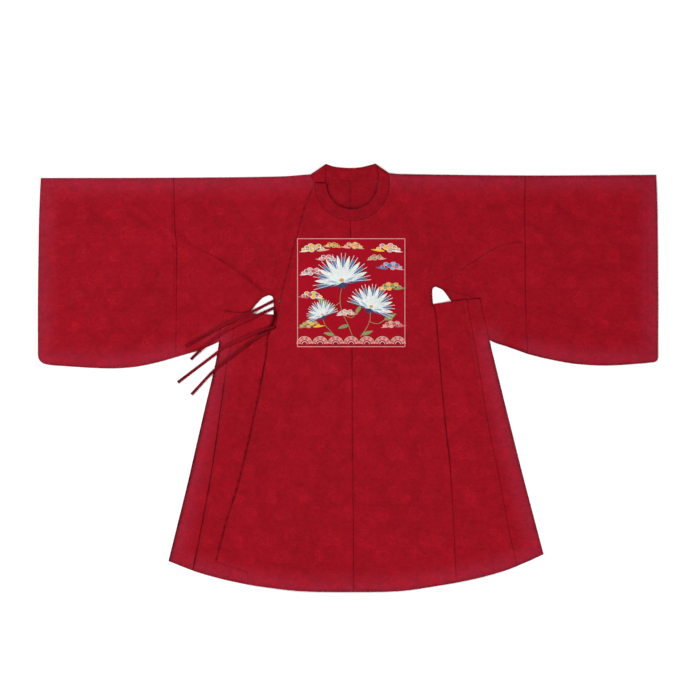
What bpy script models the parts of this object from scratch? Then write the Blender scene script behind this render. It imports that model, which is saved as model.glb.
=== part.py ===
"""A crimson round-collar robe laid flat on its back, seen from above.

Left and right are the viewer's. X runs along the sleeves, Y from hem to collar, and Z up from the
surface that the robe lies on. The cloth is built in layers from the surface up, each piece of the cut
as its own thin wall: back, under front, outer front, badge. Pieces that are sewn edge to edge leave
SEAM between them, and so do pieces that lie on each other.
"""
import math
from collections import namedtuple

import bpy
from mathutils import Vector
from mathutils.geometry import delaunay_2d_cdt

MM = 0.001
MERGE = 1e-6
INSIDE_THE_EDGES = 1

# Sizes of the cloth, in metres.
WALL = 1.2 * MM
BAND = 2.0 * MM
TIE_WALL = 1.0 * MM
SEAM = 0.3 * MM
MEET = 1.0 * MM
LAYER = WALL + SEAM
TIE_WIDTH = 10 * MM

# How the pieces lie on each other.
UNDER_FRONT = LAYER
OUTER_FRONT = 2 * LAYER
SHOULDER_BAND = BAND + SEAM
FRONT_FALL = 240 * MM
SLEEVE_STACK = WALL + LAYER
RAMP_TOP = 4 * MM
RAMP_FOOT = 22 * MM

# Spacing of the points that a piece is made from.
EDGE_STEP = 45 * MM
LONG_STEP = 80 * MM
CLOTH_STEP = 52 * MM
TIE_STEP = 8 * MM
ARC_STEP = math.radians(15)
SHARPEST_CORNER = 0.4

# The collar is half a ring round the neck, with a straight limb up to the right shoulder.
NECK_X = 13.5
NECK_Y = 626.5
NECK_INNER = 82.0
NECK_OUTER = 119.4
NECK_HIDDEN = 101.0
CENTRE_TURN = math.radians(267.8)

# The badge is a square of cloth across the centre-front seam.
BADGE_LEFT = -165.0
BADGE_RIGHT = 186.0
BADGE_TOP = 451.0
BADGE_BOTTOM = 98.0

Point = namedtuple("Point", "across up")
Crease = namedtuple("Crease", "rows height half_width")

# Every edge and seam of the cut, as short tables of points in millimetres: (across, up).
EDGES = {
    "shoulder_left": [(-991, 644), (-561, 645), (-219, 649), (-121, 656)],
    "shoulder_right": [(133, 660), (168, 657), (572, 652), (994, 654)],
    "cuff_left": [(-991, 644), (-996, 528), (-1000, 260), (-1000, 75)],
    "cuff_right": [(994, 654), (998, 528), (1000, 283), (1000, 66)],
    "cuff_corner_left": [(-1000, 75), (-996, 58), (-981, 46), (-956, 41)],
    "cuff_corner_right": [(1000, 66), (997, 56), (988, 51)],
    "underarm_left_out": [(-956, 41), (-781, 31), (-694, 35), (-620, 49), (-555, 67)],
    "underarm_right_out": [(988, 51), (939, 46), (827, 40), (729, 46), (645, 61), (580, 77)],
    "underarm_left_in": [(-555, 67), (-477, 91), (-415, 119), (-365, 161), (-319, 211), (-277, 257),
                         (-255, 267)],
    "underarm_right_in": [(580, 77), (519, 99), (457, 122), (394, 180), (332, 249), (306, 283),
                          (284, 294)],
    "armpit_left": [(-255, 267), (-244, 262), (-240, 248), (-240, 204)],
    "armpit_right": [(284, 294), (274, 291), (271, 279), (273, 238)],
    "panel_top_left": [(-396, 216), (-361, 211), (-240, 204)],
    "panel_top_right": [(273, 238), (338, 248), (384, 253), (426, 256)],
    "hem": [(-579, -591), (-500, -622), (-426, -644), (-348, -662), (-284, -673), (-155, -688), (19, -691),
            (168, -688), (265, -675), (394, -652), (500, -624), (577, -594), (631, -569)],
    "lap_top": [(-106, 626), (-119, 598), (-139, 550), (-155, 490), (-190, 364), (-216, 257), (-228, 193),
                (-232, 164)],
    "neck_back": [(-121, 656), (-104, 643), (-71, 638), (7, 638), (97, 638), (120, 646), (133, 660)],
    "neck_stand": [(88, 691), (45, 680), (7, 677), (-42, 681), (-71, 690)],
}
LONG_EDGES = {
    "sleeve_seam_left": [(-561, 645), (-558, 490), (-552, 412), (-555, 67)],
    "sleeve_seam_right": [(572, 652), (570, 525), (572, 435), (572, 286), (580, 77)],
    "lap_side": [(-232, 164), (-256, 142), (-263, 78), (-301, -116), (-352, -335), (-392, -463),
                 (-426, -593)],
}
EDGES_TO_HEM = {
    "side_seam_left": [(-240, 204), (-229, 190), (-231, 164), (-245, 128), (-265, 83), (-284, -136),
                       (-321, -664)],
    "side_seam_right": [(273, 238), (280, 222), (285, 186), (293, 90), (313, -136), (331, -301), (350, -662)],
    "centre_front": [(9, 507), (9, 454), (14, 91), (19, -691)],
    "centre_back": [(7, 638), (7, 548), (13, -72), (19, -691)],
    "panel_left": [(-396, 216), (-408, 170), (-426, 54), (-463, -104), (-515, -330), (-579, -591)],
    "panel_right": [(426, 256), (436, 209), (455, 126), (519, -136), (568, -330), (631, -569)],
    "pleat_left": [(-361, 211), (-367, 165), (-394, 28), (-415, -123), (-446, -330), (-481, -517),
                   (-502, -621)],
    "pleat_right": [(384, 253), (397, 175), (413, 90), (450, -136), (490, -330), (517, -478), (545, -607)],
}

# Short straight-sided corners: the lap's hem, the collar's limb and end, and the hidden neck edge.
LAP_CORNER = [(-426, -593), (-323, -627), (-322, -665)]
BAND_LIMB = [(132.9, 626.5), (132, 656), (133, 660)]
BAND_LIMB_INNER = [(88, 691), (96, 675), (99, 648), (95.5, 626.5)]
BAND_SHOULDER = [(-121, 656), (-108, 630), (-73, 632), (-71, 690)]
HIDDEN_NECK = [(-121, 656), (-108, 629), (-87, 627)]

# The soft folds that run out of each armpit over the sleeve.
CREASES = {
    "left": Crease([(-477, 412), (-394, 364), (-323, 315), (-268, 283)], 2.0 * MM, 14 * MM),
    "right": Crease([(323, 322), (394, 380), (465, 420), (534, 438)], 2.0 * MM, 14 * MM),
}

# The four ties, each from where it is sewn on to its free end.
TIE_ROUTES = {
    "tie_gap_upper": [(-243, 246), (-318, 209), (-406, 168), (-458, 138), (-524, 100)],
    "tie_gap_lower": [(-243, 223), (-303, 197), (-350, 178), (-394, 156), (-419, 131), (-470, 97),
                      (-507, 59)],
    "tie_lap_upper": [(-243.5, 161), (-281, 153), (-348, 123), (-403, 97), (-422, 81), (-549, -15)],
    "tie_lap_lower": [(-261, 145), (-281, 136), (-327, 105), (-373, 69), (-430, 25), (-505, -54)],
}

CRIMSON = (0.327, 0.006, 0.015, 1)
DEEP_CRIMSON = (0.240, 0.004, 0.010, 1)
BADGE_RED = (0.420, 0.010, 0.026, 1)


def clear_scene():
    """Start from an empty scene."""
    for thing in list(bpy.data.objects):
        bpy.data.objects.remove(thing, do_unlink=True)


def make_collection(name):
    """A collection of the scene, for the robe's pieces."""
    group = bpy.data.collections.new(name)
    bpy.context.scene.collection.children.link(group)
    return group


def cloth_material(name, colour, roughness):
    """A plain cloth finish."""
    material = bpy.data.materials.new(name)
    material.use_nodes = True
    shader = material.node_tree.nodes["Principled BSDF"]
    shader.inputs["Base Color"].default_value = colour
    shader.inputs["Roughness"].default_value = roughness
    shader.inputs["Metallic"].default_value = 0.0
    return material


def metres(rows):
    """Rows of millimetres as points in metres."""
    return [Vector(Point(*row)) * MM for row in rows]


def curve(rows, step=EDGE_STEP):
    """A smooth line through the rows, with a point every step or less."""
    knots = metres(rows)
    ends = [2 * knots[0] - knots[1]] + knots + [2 * knots[-1] - knots[-2]]
    points = [knots[0]]
    for before, start, end, after in zip(ends, ends[1:], ends[2:], ends[3:]):
        pieces = max(1, math.ceil((end - start).length / step))
        span = (end - start).length
        leave = (end - before).normalized() * span
        arrive = (after - start).normalized() * span
        for index in range(1, pieces + 1):
            t = index / pieces
            point = start * (2 * t**3 - 3 * t**2 + 1) + leave * (t**3 - 2 * t**2 + t)
            points.append(point + end * (3 * t**2 - 2 * t**3) + arrive * (t**3 - t**2))
    return points


def neck_arc(radius, start, end):
    """Part of a circle round the neck, from one angle to another."""
    centre = Vector((NECK_X, NECK_Y)) * MM
    pieces = math.ceil(abs(end - start) / ARC_STEP)
    angles = [start + (end - start) * index / pieces for index in range(pieces + 1)]
    return [centre + Vector((math.cos(a), math.sin(a))) * radius * MM for a in angles]


def between(line, start, end):
    """The stretch of a left-to-right line between two values of X, in either direction."""
    low, high = sorted((start, end))
    inner = [p for p in line if low + EDGE_STEP / 4 < p.x < high - EDGE_STEP / 4]
    stretch = [at_x(line, low)] + inner + [at_x(line, high)]
    return stretch if start < end else stretch[::-1]


def at_x(line, x):
    """The point of a left-to-right line at a value of X."""
    for start, end in zip(line, line[1:]):
        if start.x <= x <= end.x:
            return start.lerp(end, (x - start.x) / (end.x - start.x))
    return line[0].copy() if x < line[0].x else line[-1].copy()


def chain(*lines):
    """One closed loop from lines that follow each other."""
    loop = []
    for line in lines:
        for point in line:
            if not loop or (point - loop[-1]).length > MEET:
                loop.append(point)
    if (loop[0] - loop[-1]).length <= MEET:
        loop.pop()
    return loop


def loop_area(loop):
    """The signed area of a loop, positive when it runs anticlockwise."""
    return sum(a.cross(b) for a, b in zip(loop, loop[1:] + loop[:1])) / 2


def inset(loop, distance):
    """The loop drawn in by a distance, corners kept sharp, running anticlockwise."""
    if loop_area(loop) < 0:
        loop = loop[::-1]
    drawn = []
    for before, point, after in zip(loop[-1:] + loop[:-1], loop, loop[1:] + loop[:1]):
        first = (point - before).normalized()
        second = (after - point).normalized()
        inward = Vector((-first.y - second.y, first.x + second.x)).normalized()
        lean = max(SHARPEST_CORNER, inward.dot(Vector((-first.y, first.x))))
        drawn.append(point + inward * distance / lean)
    return drawn


def line_distance(point, line):
    """The shortest distance from a point to a line of points."""
    best = math.inf
    for start, end in zip(line, line[1:]):
        along = end - start
        t = max(0.0, min(1.0, (point - start).dot(along) / along.length_squared))
        best = min(best, (point - start - along * t).length)
    return best


def inside(point, loop):
    """Whether a point lies inside a loop."""
    crossings = 0
    for start, end in zip(loop, loop[1:] + loop[:1]):
        if (start.y > point.y) != (end.y > point.y):
            x = start.x + (end.x - start.x) * (point.y - start.y) / (end.y - start.y)
            crossings += x > point.x
    return crossings % 2 == 1


def ease(t):
    """A smooth step from 0 to 1."""
    t = max(0.0, min(1.0, t))
    return t * t * (3 - 2 * t)


def shifted(line, distance):
    """A line moved sideways, to its right when the distance is positive."""
    moved = []
    for index, point in enumerate(line):
        along = (line[min(index + 1, len(line) - 1)] - line[max(index - 1, 0)]).normalized()
        moved.append(point + Vector((along.y, -along.x)) * distance)
    return moved


def lattice(loop, lines):
    """Points on a grid of equal triangles inside a loop, clear of its edge and of the lines."""
    closed = loop + loop[:1]
    row_height = CLOTH_STEP * math.sqrt(3) / 2
    low_x, high_x = min(p.x for p in loop), max(p.x for p in loop)
    low_y, high_y = min(p.y for p in loop), max(p.y for p in loop)
    points = []
    for row in range(math.floor(low_y / row_height), math.ceil(high_y / row_height) + 1):
        shift = CLOTH_STEP / 2 * (row % 2)
        for column in range(math.floor(low_x / CLOTH_STEP) - 1, math.ceil(high_x / CLOTH_STEP) + 1):
            point = Vector((column * CLOTH_STEP + shift, row * row_height))
            if not inside(point, loop) or line_distance(point, closed) < CLOTH_STEP / 3:
                continue
            if all(line_distance(point, line) > CLOTH_STEP / 4 for line in lines):
                points.append(point)
    return points


def add_piece(name, group, material, vertices, faces, wall):
    """A sheet of faces as a named piece, given its wall upwards."""
    mesh = bpy.data.meshes.new(name)
    mesh.from_pydata(vertices, [], faces)
    mesh.materials.append(material)
    mesh.update()
    piece = bpy.data.objects.new(name, mesh)
    group.objects.link(piece)
    thicken = piece.modifiers.new("wall", "SOLIDIFY")
    thicken.thickness = wall
    thicken.offset = 1.0


def cloth(name, group, material, loop, height, lines=(), wall=WALL, grid=True):
    """One piece of cloth: its outline filled with points, each put at its height."""
    outline = inset(loop, SEAM / 2)
    points = list(outline)
    edges = [(i, (i + 1) % len(outline)) for i in range(len(outline))]
    for line in lines:
        edges += [(len(points) + i, len(points) + i + 1) for i in range(len(line) - 1)]
        points += line
    if grid:
        points += lattice(outline, lines)
    flat, _, triangles, *_ = delaunay_2d_cdt(points, edges, [], INSIDE_THE_EDGES, MERGE)
    add_piece(name, group, material, [(p.x, p.y, height(p)) for p in flat], triangles, wall)


def level(z):
    """A height that is the same all over a piece."""
    return lambda point: z


def outer_front(point):
    """The underside of the outer front: high left of the centre seam, lower to the right of it."""
    fall = ease((point.x - EDGES_TO_HEM["centre_front"][0][0] * MM) / FRONT_FALL)
    return OUTER_FRONT - (OUTER_FRONT - UNDER_FRONT) * fall


def creased(base, crease):
    """A height with a soft ridge along a crease."""
    line = curve(crease.rows)

    def height(point):
        ridge = 1 - line_distance(point, line) / crease.half_width
        return base(point) + crease.height * max(0.0, ridge)
    return height


def crease_lines(crease):
    """The crest of a crease, and its foot on each side."""
    crest = curve(crease.rows)
    return [crest, shifted(crest, crease.half_width), shifted(crest, -crease.half_width)]


def over_sleeve(sleeve, lift):
    """The height of a side panel: it lies on the sleeve, and comes down beside it."""
    edge = sleeve + sleeve[:1]

    def height(point):
        away = 0.0 if inside(point, sleeve) else line_distance(point, edge)
        down = (away - RAMP_TOP) / (RAMP_FOOT - RAMP_TOP)
        return lift + (SLEEVE_STACK + SEAM) * (1 - max(0.0, min(1.0, down)))
    return height


def build_edges():
    """Every seam and edge of the cut, as lines of points in metres, by name."""
    line = {name: curve(rows) for name, rows in EDGES.items()}
    line.update((name, curve(rows, LONG_STEP)) for name, rows in LONG_EDGES.items())
    for name, rows in EDGES_TO_HEM.items():
        line[name] = curve(rows, LONG_STEP)
        line[name][-1] = at_x(line["hem"], line[name][-1].x)
    line["lap_corner"] = metres(LAP_CORNER)
    line["lap_corner"][-1] = at_x(line["hem"], line["lap_corner"][-1].x)
    line["band_left"] = neck_arc(NECK_OUTER, math.pi, CENTRE_TURN)
    line["band_right"] = neck_arc(NECK_OUTER, CENTRE_TURN, 2 * math.pi)
    line["band_limb"] = metres(BAND_LIMB)
    for side in ("left", "right"):
        line["cuff_" + side] += line.pop("cuff_corner_" + side)
    return line


def build_sleeve_ends(line, group, crimson):
    """The outer half of each sleeve, folded along the top: a back and a front wall."""
    for side in ("left", "right"):
        top = line["shoulder_" + side]
        seam = line["sleeve_seam_" + side]
        above = between(top, seam[0].x, line["cuff_" + side][0].x)
        loop = chain(above, line["cuff_" + side], line["underarm_" + side + "_out"], seam[::-1])
        cloth("sleeve_" + side + "_back", group, crimson, loop, level(0.0), grid=False)
        cloth("sleeve_" + side + "_front", group, crimson, loop, level(UNDER_FRONT))


def body_side(line, side):
    """The edge of a body half from the sleeve seam's foot to the hem."""
    return line["underarm_" + side + "_in"] + line["armpit_" + side] + line["side_seam_" + side]


def build_backs(line, group, crimson):
    """The two halves of the back, each cut in one with the inner half of its sleeve."""
    neck = line["neck_back"]
    for side, end in (("left", neck[0]), ("right", neck[-1])):
        seam = line["sleeve_seam_" + side]
        edge = body_side(line, side)
        loop = chain(
            line["centre_back"][::-1],
            between(neck, line["centre_back"][0].x, end.x),
            between(line["shoulder_" + side], end.x, seam[0].x),
            seam, edge,
            between(line["hem"], edge[-1].x, line["centre_back"][-1].x))
        cloth("back_" + side, group, crimson, loop, level(0.0), grid=False)


def build_under_front(line, group, crimson):
    """The left front, which goes on under the outer front as far as the centre."""
    seam = line["sleeve_seam_left"]
    edge = body_side(line, "left")
    hidden = metres(HIDDEN_NECK) + neck_arc(NECK_HIDDEN, math.pi, CENTRE_TURN)
    centre = line["centre_front"]
    loop = chain(
        between(line["shoulder_left"], line["shoulder_left"][-1].x, seam[0].x),
        seam, edge,
        between(line["hem"], edge[-1].x, centre[-1].x),
        centre[::-1], hidden[::-1])
    crease = CREASES["left"]
    cloth("front_left", group, crimson, loop, creased(level(UNDER_FRONT), crease), crease_lines(crease))


def build_outer_front(line, group, crimson):
    """The right front with its inner sleeve, and the lap sewn to it along the centre seam."""
    centre = line["centre_front"]
    seam = line["sleeve_seam_right"]
    edge = body_side(line, "right")
    loop = chain(
        centre[::-1], line["band_right"], line["band_limb"],
        between(line["shoulder_right"], line["shoulder_right"][0].x, seam[0].x),
        seam, edge,
        between(line["hem"], edge[-1].x, centre[-1].x))
    crease = CREASES["right"]
    cloth("front_right", group, crimson, loop, creased(outer_front, crease), crease_lines(crease))
    corner = line["lap_corner"]
    lap = chain(
        line["band_left"], centre,
        between(line["hem"], centre[-1].x, corner[-1].x),
        corner[::-1], line["lap_side"][::-1], line["lap_top"][::-1])
    cloth("lap", group, crimson, lap, level(OUTER_FRONT))


def sleeve_loop(line, side):
    """The outline of a whole sleeve, from cuff to armpit."""
    top = line["shoulder_" + side]
    under = line["underarm_" + side + "_out"] + line["underarm_" + side + "_in"]
    above = between(top, under[-1].x, line["cuff_" + side][0].x)
    return chain(above, line["cuff_" + side], under)


def build_side_panels(line, group, crimson):
    """The flared panels on each side below the arms: a wide back one, and a narrow front one on it."""
    tops = {}
    for side, turn in (("left", 1), ("right", -1)):
        sleeve = sleeve_loop(line, side)
        ramp = [shifted(line["underarm_" + side + "_in"], turn * distance)
                for distance in (RAMP_TOP, RAMP_FOOT)]
        seam = line["side_seam_" + side]
        for part, lift, outer in (("back", 0.0, "panel_"), ("front", LAYER, "pleat_")):
            edge = line[outer + side]
            top = between(line["panel_top_" + side], edge[0].x, seam[0].x)
            loop = chain(top, seam, between(line["hem"], seam[-1].x, edge[-1].x), edge[::-1])
            height = over_sleeve(sleeve, lift)
            cloth("side_" + side + "_" + part, group, crimson, loop, height, ramp)
            tops[side + part] = (loop, height)
        tops[side + "sleeve"] = (sleeve, level(SLEEVE_STACK - WALL))
    return tops


def build_collar(line, group, deep):
    """The band round the neck: its front half ring, its back, and its end on the left shoulder."""
    inner = neck_arc(NECK_INNER, 2 * math.pi, math.pi)
    ring = chain(line["band_left"], line["band_right"], line["band_limb"], metres(BAND_LIMB_INNER), inner)
    cloth("collar_front", group, deep, ring, level(OUTER_FRONT), wall=BAND)
    stand = chain(line["neck_back"], line["neck_stand"])
    cloth("collar_back", group, deep, stand, level(0.0), wall=BAND, grid=False)
    cloth("collar_shoulder", group, deep, metres(BAND_SHOULDER), level(SHOULDER_BAND), wall=BAND, grid=False)


def build_badge(group, material):
    """The square badge on the chest, made from the front's own height and moved up off it."""
    corners = [(BADGE_LEFT, BADGE_BOTTOM), (BADGE_RIGHT, BADGE_BOTTOM),
               (BADGE_RIGHT, BADGE_TOP), (BADGE_LEFT, BADGE_TOP)]
    loop = chain(*(curve([a, b]) for a, b in zip(corners, corners[1:] + corners[:1])))
    cloth("badge", group, material, loop, lambda point: outer_front(point) + LAYER)


def rest_height(point, tops):
    """The height of the highest piece below a point, with the seam's gap above it, or the surface."""
    best = 0.0
    for loop, height in tops.values():
        if inside(point, loop):
            best = max(best, height(point) + LAYER)
    return best


def build_ties(tops, group, material):
    """The four narrow ties, each laid over what is below it."""
    turns = [math.radians(30 * index) for index in range(12)]
    ring = [Vector((math.cos(turn), math.sin(turn))) * (TIE_STEP + TIE_WIDTH / 2) for turn in turns]
    for name, rows in TIE_ROUTES.items():
        route = curve(rows, TIE_STEP)
        edges = zip(route, shifted(route, -TIE_WIDTH / 2), shifted(route, TIE_WIDTH / 2))
        vertices = []
        for point, left, right in edges:
            near = [point, left, right] + [point + step for step in ring]
            z = max(rest_height(spot, tops) for spot in near)
            vertices += [(left.x, left.y, z), (right.x, right.y, z)]
        faces = [(2 * i, 2 * i + 1, 2 * i + 3, 2 * i + 2) for i in range(len(route) - 1)]
        add_piece(name, group, material, vertices, faces, TIE_WALL)


def main():
    """Build the robe, piece by piece, from the surface up."""
    clear_scene()
    group = make_collection("round_collar_robe")
    crimson = cloth_material("crimson_satin", CRIMSON, 0.5)
    deep = cloth_material("collar_satin", DEEP_CRIMSON, 0.5)
    ground = cloth_material("badge_ground", BADGE_RED, 0.6)
    line = build_edges()
    build_sleeve_ends(line, group, crimson)
    build_backs(line, group, crimson)
    build_under_front(line, group, crimson)
    tops = build_side_panels(line, group, crimson)
    build_outer_front(line, group, crimson)
    build_collar(line, group, deep)
    build_badge(group, ground)
    build_ties(tops, group, deep)


main()
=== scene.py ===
# %% [markdown]
# # A crimson round-collar robe, laid flat
# The robe is thin silk with cloud figures woven in, cut in flat pieces and laid on its back. It could be
# draped by simulation, but the photograph shows a pressed robe that lies nearly flat. So each piece of the
# cut is drawn from its seams, laid at its own layer, and given soft folds placed one by one.

# %% Load the imported model
import math
from collections import namedtuple

import bpy
import numpy as np
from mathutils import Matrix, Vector
from mathutils.geometry import delaunay_2d_cdt


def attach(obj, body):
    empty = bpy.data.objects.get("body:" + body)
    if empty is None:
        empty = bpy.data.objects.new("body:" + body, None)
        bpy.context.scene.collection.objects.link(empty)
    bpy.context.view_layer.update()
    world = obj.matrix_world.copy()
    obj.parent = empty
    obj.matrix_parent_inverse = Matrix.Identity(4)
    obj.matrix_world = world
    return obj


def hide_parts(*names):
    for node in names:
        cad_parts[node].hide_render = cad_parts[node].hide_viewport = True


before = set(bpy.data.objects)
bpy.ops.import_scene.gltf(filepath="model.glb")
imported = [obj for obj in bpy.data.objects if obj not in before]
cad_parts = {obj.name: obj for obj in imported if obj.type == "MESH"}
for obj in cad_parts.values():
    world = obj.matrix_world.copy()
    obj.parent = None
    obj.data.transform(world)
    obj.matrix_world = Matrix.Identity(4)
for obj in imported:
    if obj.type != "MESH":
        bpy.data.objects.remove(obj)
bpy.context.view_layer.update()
MM = 0.001
print("the packed robe has", len(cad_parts), "solids")

# %% [markdown]
# ## Camera, floor and light
# The robe was photographed from straight above, so the camera looks down from far away, where a long lens
# keeps the sleeves and the hem at one scale. A near lens would widen the middle. The floor is pale. One broad
# light beyond the left shoulder gives the folds their soft sides, and two weaker ones by the hem lift what it
# leaves dark.

# %% Set up the camera
PICTURE_WIDTH = 2.258
PICTURE_CENTRE = Vector((0.0065, 0.0897))
CAMERA_HEIGHT = 8.0
SENSOR = 36.0
VIEW_DEPTH = 100.0


def put_in_scene(name, data):
    """A new object at the origin, linked to the scene."""
    thing = bpy.data.objects.new(name, data)
    bpy.context.scene.collection.objects.link(thing)
    return thing


camera = put_in_scene("camera", bpy.data.cameras.new("camera"))
camera.location = (*PICTURE_CENTRE, CAMERA_HEIGHT)
camera.data.sensor_width = SENSOR
camera.data.lens = SENSOR * CAMERA_HEIGHT / PICTURE_WIDTH
camera.data.clip_end = VIEW_DEPTH
bpy.context.scene.camera = camera
bpy.context.scene.view_settings.view_transform = "Standard"
print("lens", round(camera.data.lens, 1), "mm")

# %% Lay the floor and hang the lights
FLOOR_SIZE = 60.0
FLOOR_DROP = 0.2 * MM
FLOOR_WHITE = (0.96, 0.96, 0.96, 1)
FLOOR_ROUGHNESS = 0.9
WORLD_STRENGTH = 0.42
Light = namedtuple("Light", "name place size energy")
LIGHTS = [
    Light("light_above", (-4.4, 4.2, 4.8), 2.4, 430),
    Light("light_right", (3.0, -5.0, 3.6), 2.6, 240),
    Light("light_left", (-3.2, -4.6, 3.6), 2.4, 90),
]


def start_material(name):
    """A new material with its tree and its shader."""
    material = bpy.data.materials.new(name)
    material.use_nodes = True
    return material, material.node_tree, material.node_tree.nodes["Principled BSDF"]


def start_mesh(name, vertices, faces, material):
    """A mesh of one material."""
    mesh = bpy.data.meshes.new(name)
    mesh.from_pydata(vertices, [], faces)
    mesh.materials.append(material)
    return mesh


def lay_floor():
    """A pale floor under the robe."""
    half = FLOOR_SIZE / 2
    corners = [(-half, -half, 0), (half, -half, 0), (half, half, 0), (-half, half, 0)]
    paper, _, shader = start_material("floor_paper")
    shader.inputs["Base Color"].default_value = FLOOR_WHITE
    shader.inputs["Roughness"].default_value = FLOOR_ROUGHNESS
    shader.inputs["Specular IOR Level"].default_value = 0.0
    floor = put_in_scene("floor", start_mesh("floor", corners, [(0, 1, 2, 3)], paper))
    floor.location.z = -FLOOR_DROP


def hang_light(light):
    """A square soft light that faces the robe."""
    data = bpy.data.lights.new(light.name, "AREA")
    data.size = light.size
    data.energy = light.energy
    lamp = put_in_scene(light.name, data)
    lamp.location = light.place
    lamp.rotation_euler = (-Vector(light.place)).to_track_quat("-Z", "Y").to_euler()


lay_floor()
for light in LIGHTS:
    hang_light(light)
world = bpy.data.worlds.new("studio")
world.use_nodes = True
world.node_tree.nodes["Background"].inputs["Color"].default_value = (1, 1, 1, 1)
world.node_tree.nodes["Background"].inputs["Strength"].default_value = WORLD_STRENGTH
bpy.context.scene.world = world
print("lights", len(LIGHTS))

# %% [markdown]
# ## The cut
# A pattern cutter draws each seam once, and the pieces on both sides share it. The tables here do the same:
# each line has a few points in millimetres, as across and up, and a smooth curve is read through them.
# They are the lines that the solids are cut along, so each cloth lies on its own solid.

# %% Write down the seams and edges
WALL = 0.8 * MM
LAYER = 1.5 * MM
SEAM = 0.3 * MM
EDGES = {
    "shoulder_left": [(-991, 644), (-561, 645), (-219, 649), (-121, 656)],
    "shoulder_right": [(133, 660), (168, 657), (572, 652), (994, 654)],
    "cuff_left": [(-991, 644), (-996, 528), (-1000, 260), (-1000, 75)],
    "cuff_right": [(994, 654), (998, 528), (1000, 283), (1000, 66)],
    "cuff_corner_left": [(-1000, 75), (-996, 58), (-981, 46), (-956, 41)],
    "cuff_corner_right": [(1000, 66), (997, 56), (988, 51)],
    "underarm_left_out": [(-956, 41), (-781, 31), (-694, 35), (-620, 49), (-555, 67)],
    "underarm_right_out": [(988, 51), (939, 46), (827, 40), (729, 46), (645, 61), (580, 77)],
    "underarm_left_in": [(-555, 67), (-477, 91), (-415, 119), (-365, 161), (-319, 211), (-277, 257),
                         (-255, 267)],
    "underarm_right_in": [(580, 77), (519, 99), (457, 122), (394, 180), (332, 249), (306, 283),
                          (284, 294)],
    "armpit_left": [(-255, 267), (-244, 262), (-240, 248), (-240, 204)],
    "armpit_right": [(284, 294), (274, 291), (271, 279), (273, 238)],
    "panel_top_left": [(-396, 216), (-361, 211), (-240, 204)],
    "panel_top_right": [(273, 238), (338, 248), (384, 253), (426, 256)],
    "hem": [(-579, -591), (-500, -622), (-426, -644), (-348, -662), (-284, -673), (-155, -688), (19, -691),
            (168, -688), (265, -675), (394, -652), (500, -624), (577, -594), (631, -569)],
    "lap_top": [(-106, 626), (-119, 598), (-139, 550), (-155, 490), (-190, 364), (-216, 257), (-228, 193),
                (-232, 164)],
    "neck_back": [(-121, 656), (-104, 643), (-71, 638), (7, 638), (97, 638), (120, 646), (133, 660)],
    "neck_stand": [(88, 691), (45, 680), (7, 677), (-42, 681), (-71, 690)],
    "sleeve_seam_left": [(-561, 645), (-558, 490), (-552, 412), (-555, 67)],
    "sleeve_seam_right": [(572, 652), (570, 525), (572, 435), (572, 286), (580, 77)],
    "lap_side": [(-232, 164), (-256, 142), (-263, 78), (-301, -116), (-352, -335), (-392, -463),
                 (-426, -593)],
}
EDGES_TO_HEM = {
    "side_seam_left": [(-240, 204), (-229, 190), (-231, 164), (-245, 128), (-265, 83), (-284, -136),
                       (-321, -664)],
    "side_seam_right": [(273, 238), (280, 222), (285, 186), (293, 90), (313, -136), (331, -301), (350, -662)],
    "centre_front": [(9, 507), (9, 454), (14, 91), (19, -691)],
    "centre_back": [(7, 638), (7, 548), (13, -72), (19, -691)],
    "panel_left": [(-396, 216), (-408, 170), (-426, 54), (-463, -104), (-515, -330), (-579, -591)],
    "panel_right": [(426, 256), (436, 209), (455, 126), (519, -136), (568, -330), (631, -569)],
    "pleat_left": [(-361, 211), (-367, 165), (-394, 28), (-415, -123), (-446, -330), (-481, -517),
                   (-502, -621)],
    "pleat_right": [(384, 253), (397, 175), (413, 90), (450, -136), (490, -330), (517, -478), (545, -607)],
}
STRAIGHT_EDGES = {
    "lap_corner": [(-426, -593), (-323, -627), (-322, -665)],
    "band_limb": [(132.9, 626.5), (132, 656), (133, 660)],
    "band_limb_inner": [(88, 691), (96, 675), (99, 648), (95.5, 626.5)],
    "band_shoulder": [(-121, 656), (-108, 630), (-73, 632), (-71, 690)],
    "hidden_neck": [(-121, 656), (-108, 629), (-87, 627)],
    "slope_left": [(-121, 656), (-71, 690)],
    "slope_right": [(133, 660), (88, 691)],
}
NECK = (13.5, 626.5)
NECK_INNER = 82.0
NECK_MIDDLE = 106.0
NECK_OUTER = 119.4
NECK_HIDDEN = 101.0
CENTRE_TURN = math.radians(267.8)
print("seams and edges", len(EDGES) + len(EDGES_TO_HEM) + len(STRAIGHT_EDGES))

# %% Read smooth lines through the tables
EDGE_STEP = 8 * MM
MEET = 1.0 * MM


def curve(rows, step=EDGE_STEP):
    """A smooth line through rows of millimetres, with a point every step or less, in metres."""
    knots = np.array(rows, float) * MM
    ends = np.vstack([2 * knots[:1] - knots[1:2], knots, 2 * knots[-1:] - knots[-2:-1]])
    points = [knots[:1]]
    for before, start, end, after in zip(ends, ends[1:], ends[2:], ends[3:]):
        span = np.linalg.norm(end - start)
        t = np.arange(1, math.ceil(span / step) + 1)[:, None] / math.ceil(span / step)
        leave = (end - before) / np.linalg.norm(end - before) * span
        arrive = (after - start) / np.linalg.norm(after - start) * span
        points.append(start * (2 * t**3 - 3 * t**2 + 1) + leave * (t**3 - 2 * t**2 + t)
                      + end * (3 * t**2 - 2 * t**3) + arrive * (t**3 - t**2))
    return np.vstack(points)


def straight(rows, step=EDGE_STEP):
    """Straight runs between rows of millimetres, in metres."""
    runs = [curve(pair, step) for pair in zip(rows, rows[1:])]
    return np.vstack([runs[0]] + [run[1:] for run in runs[1:]])


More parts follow.
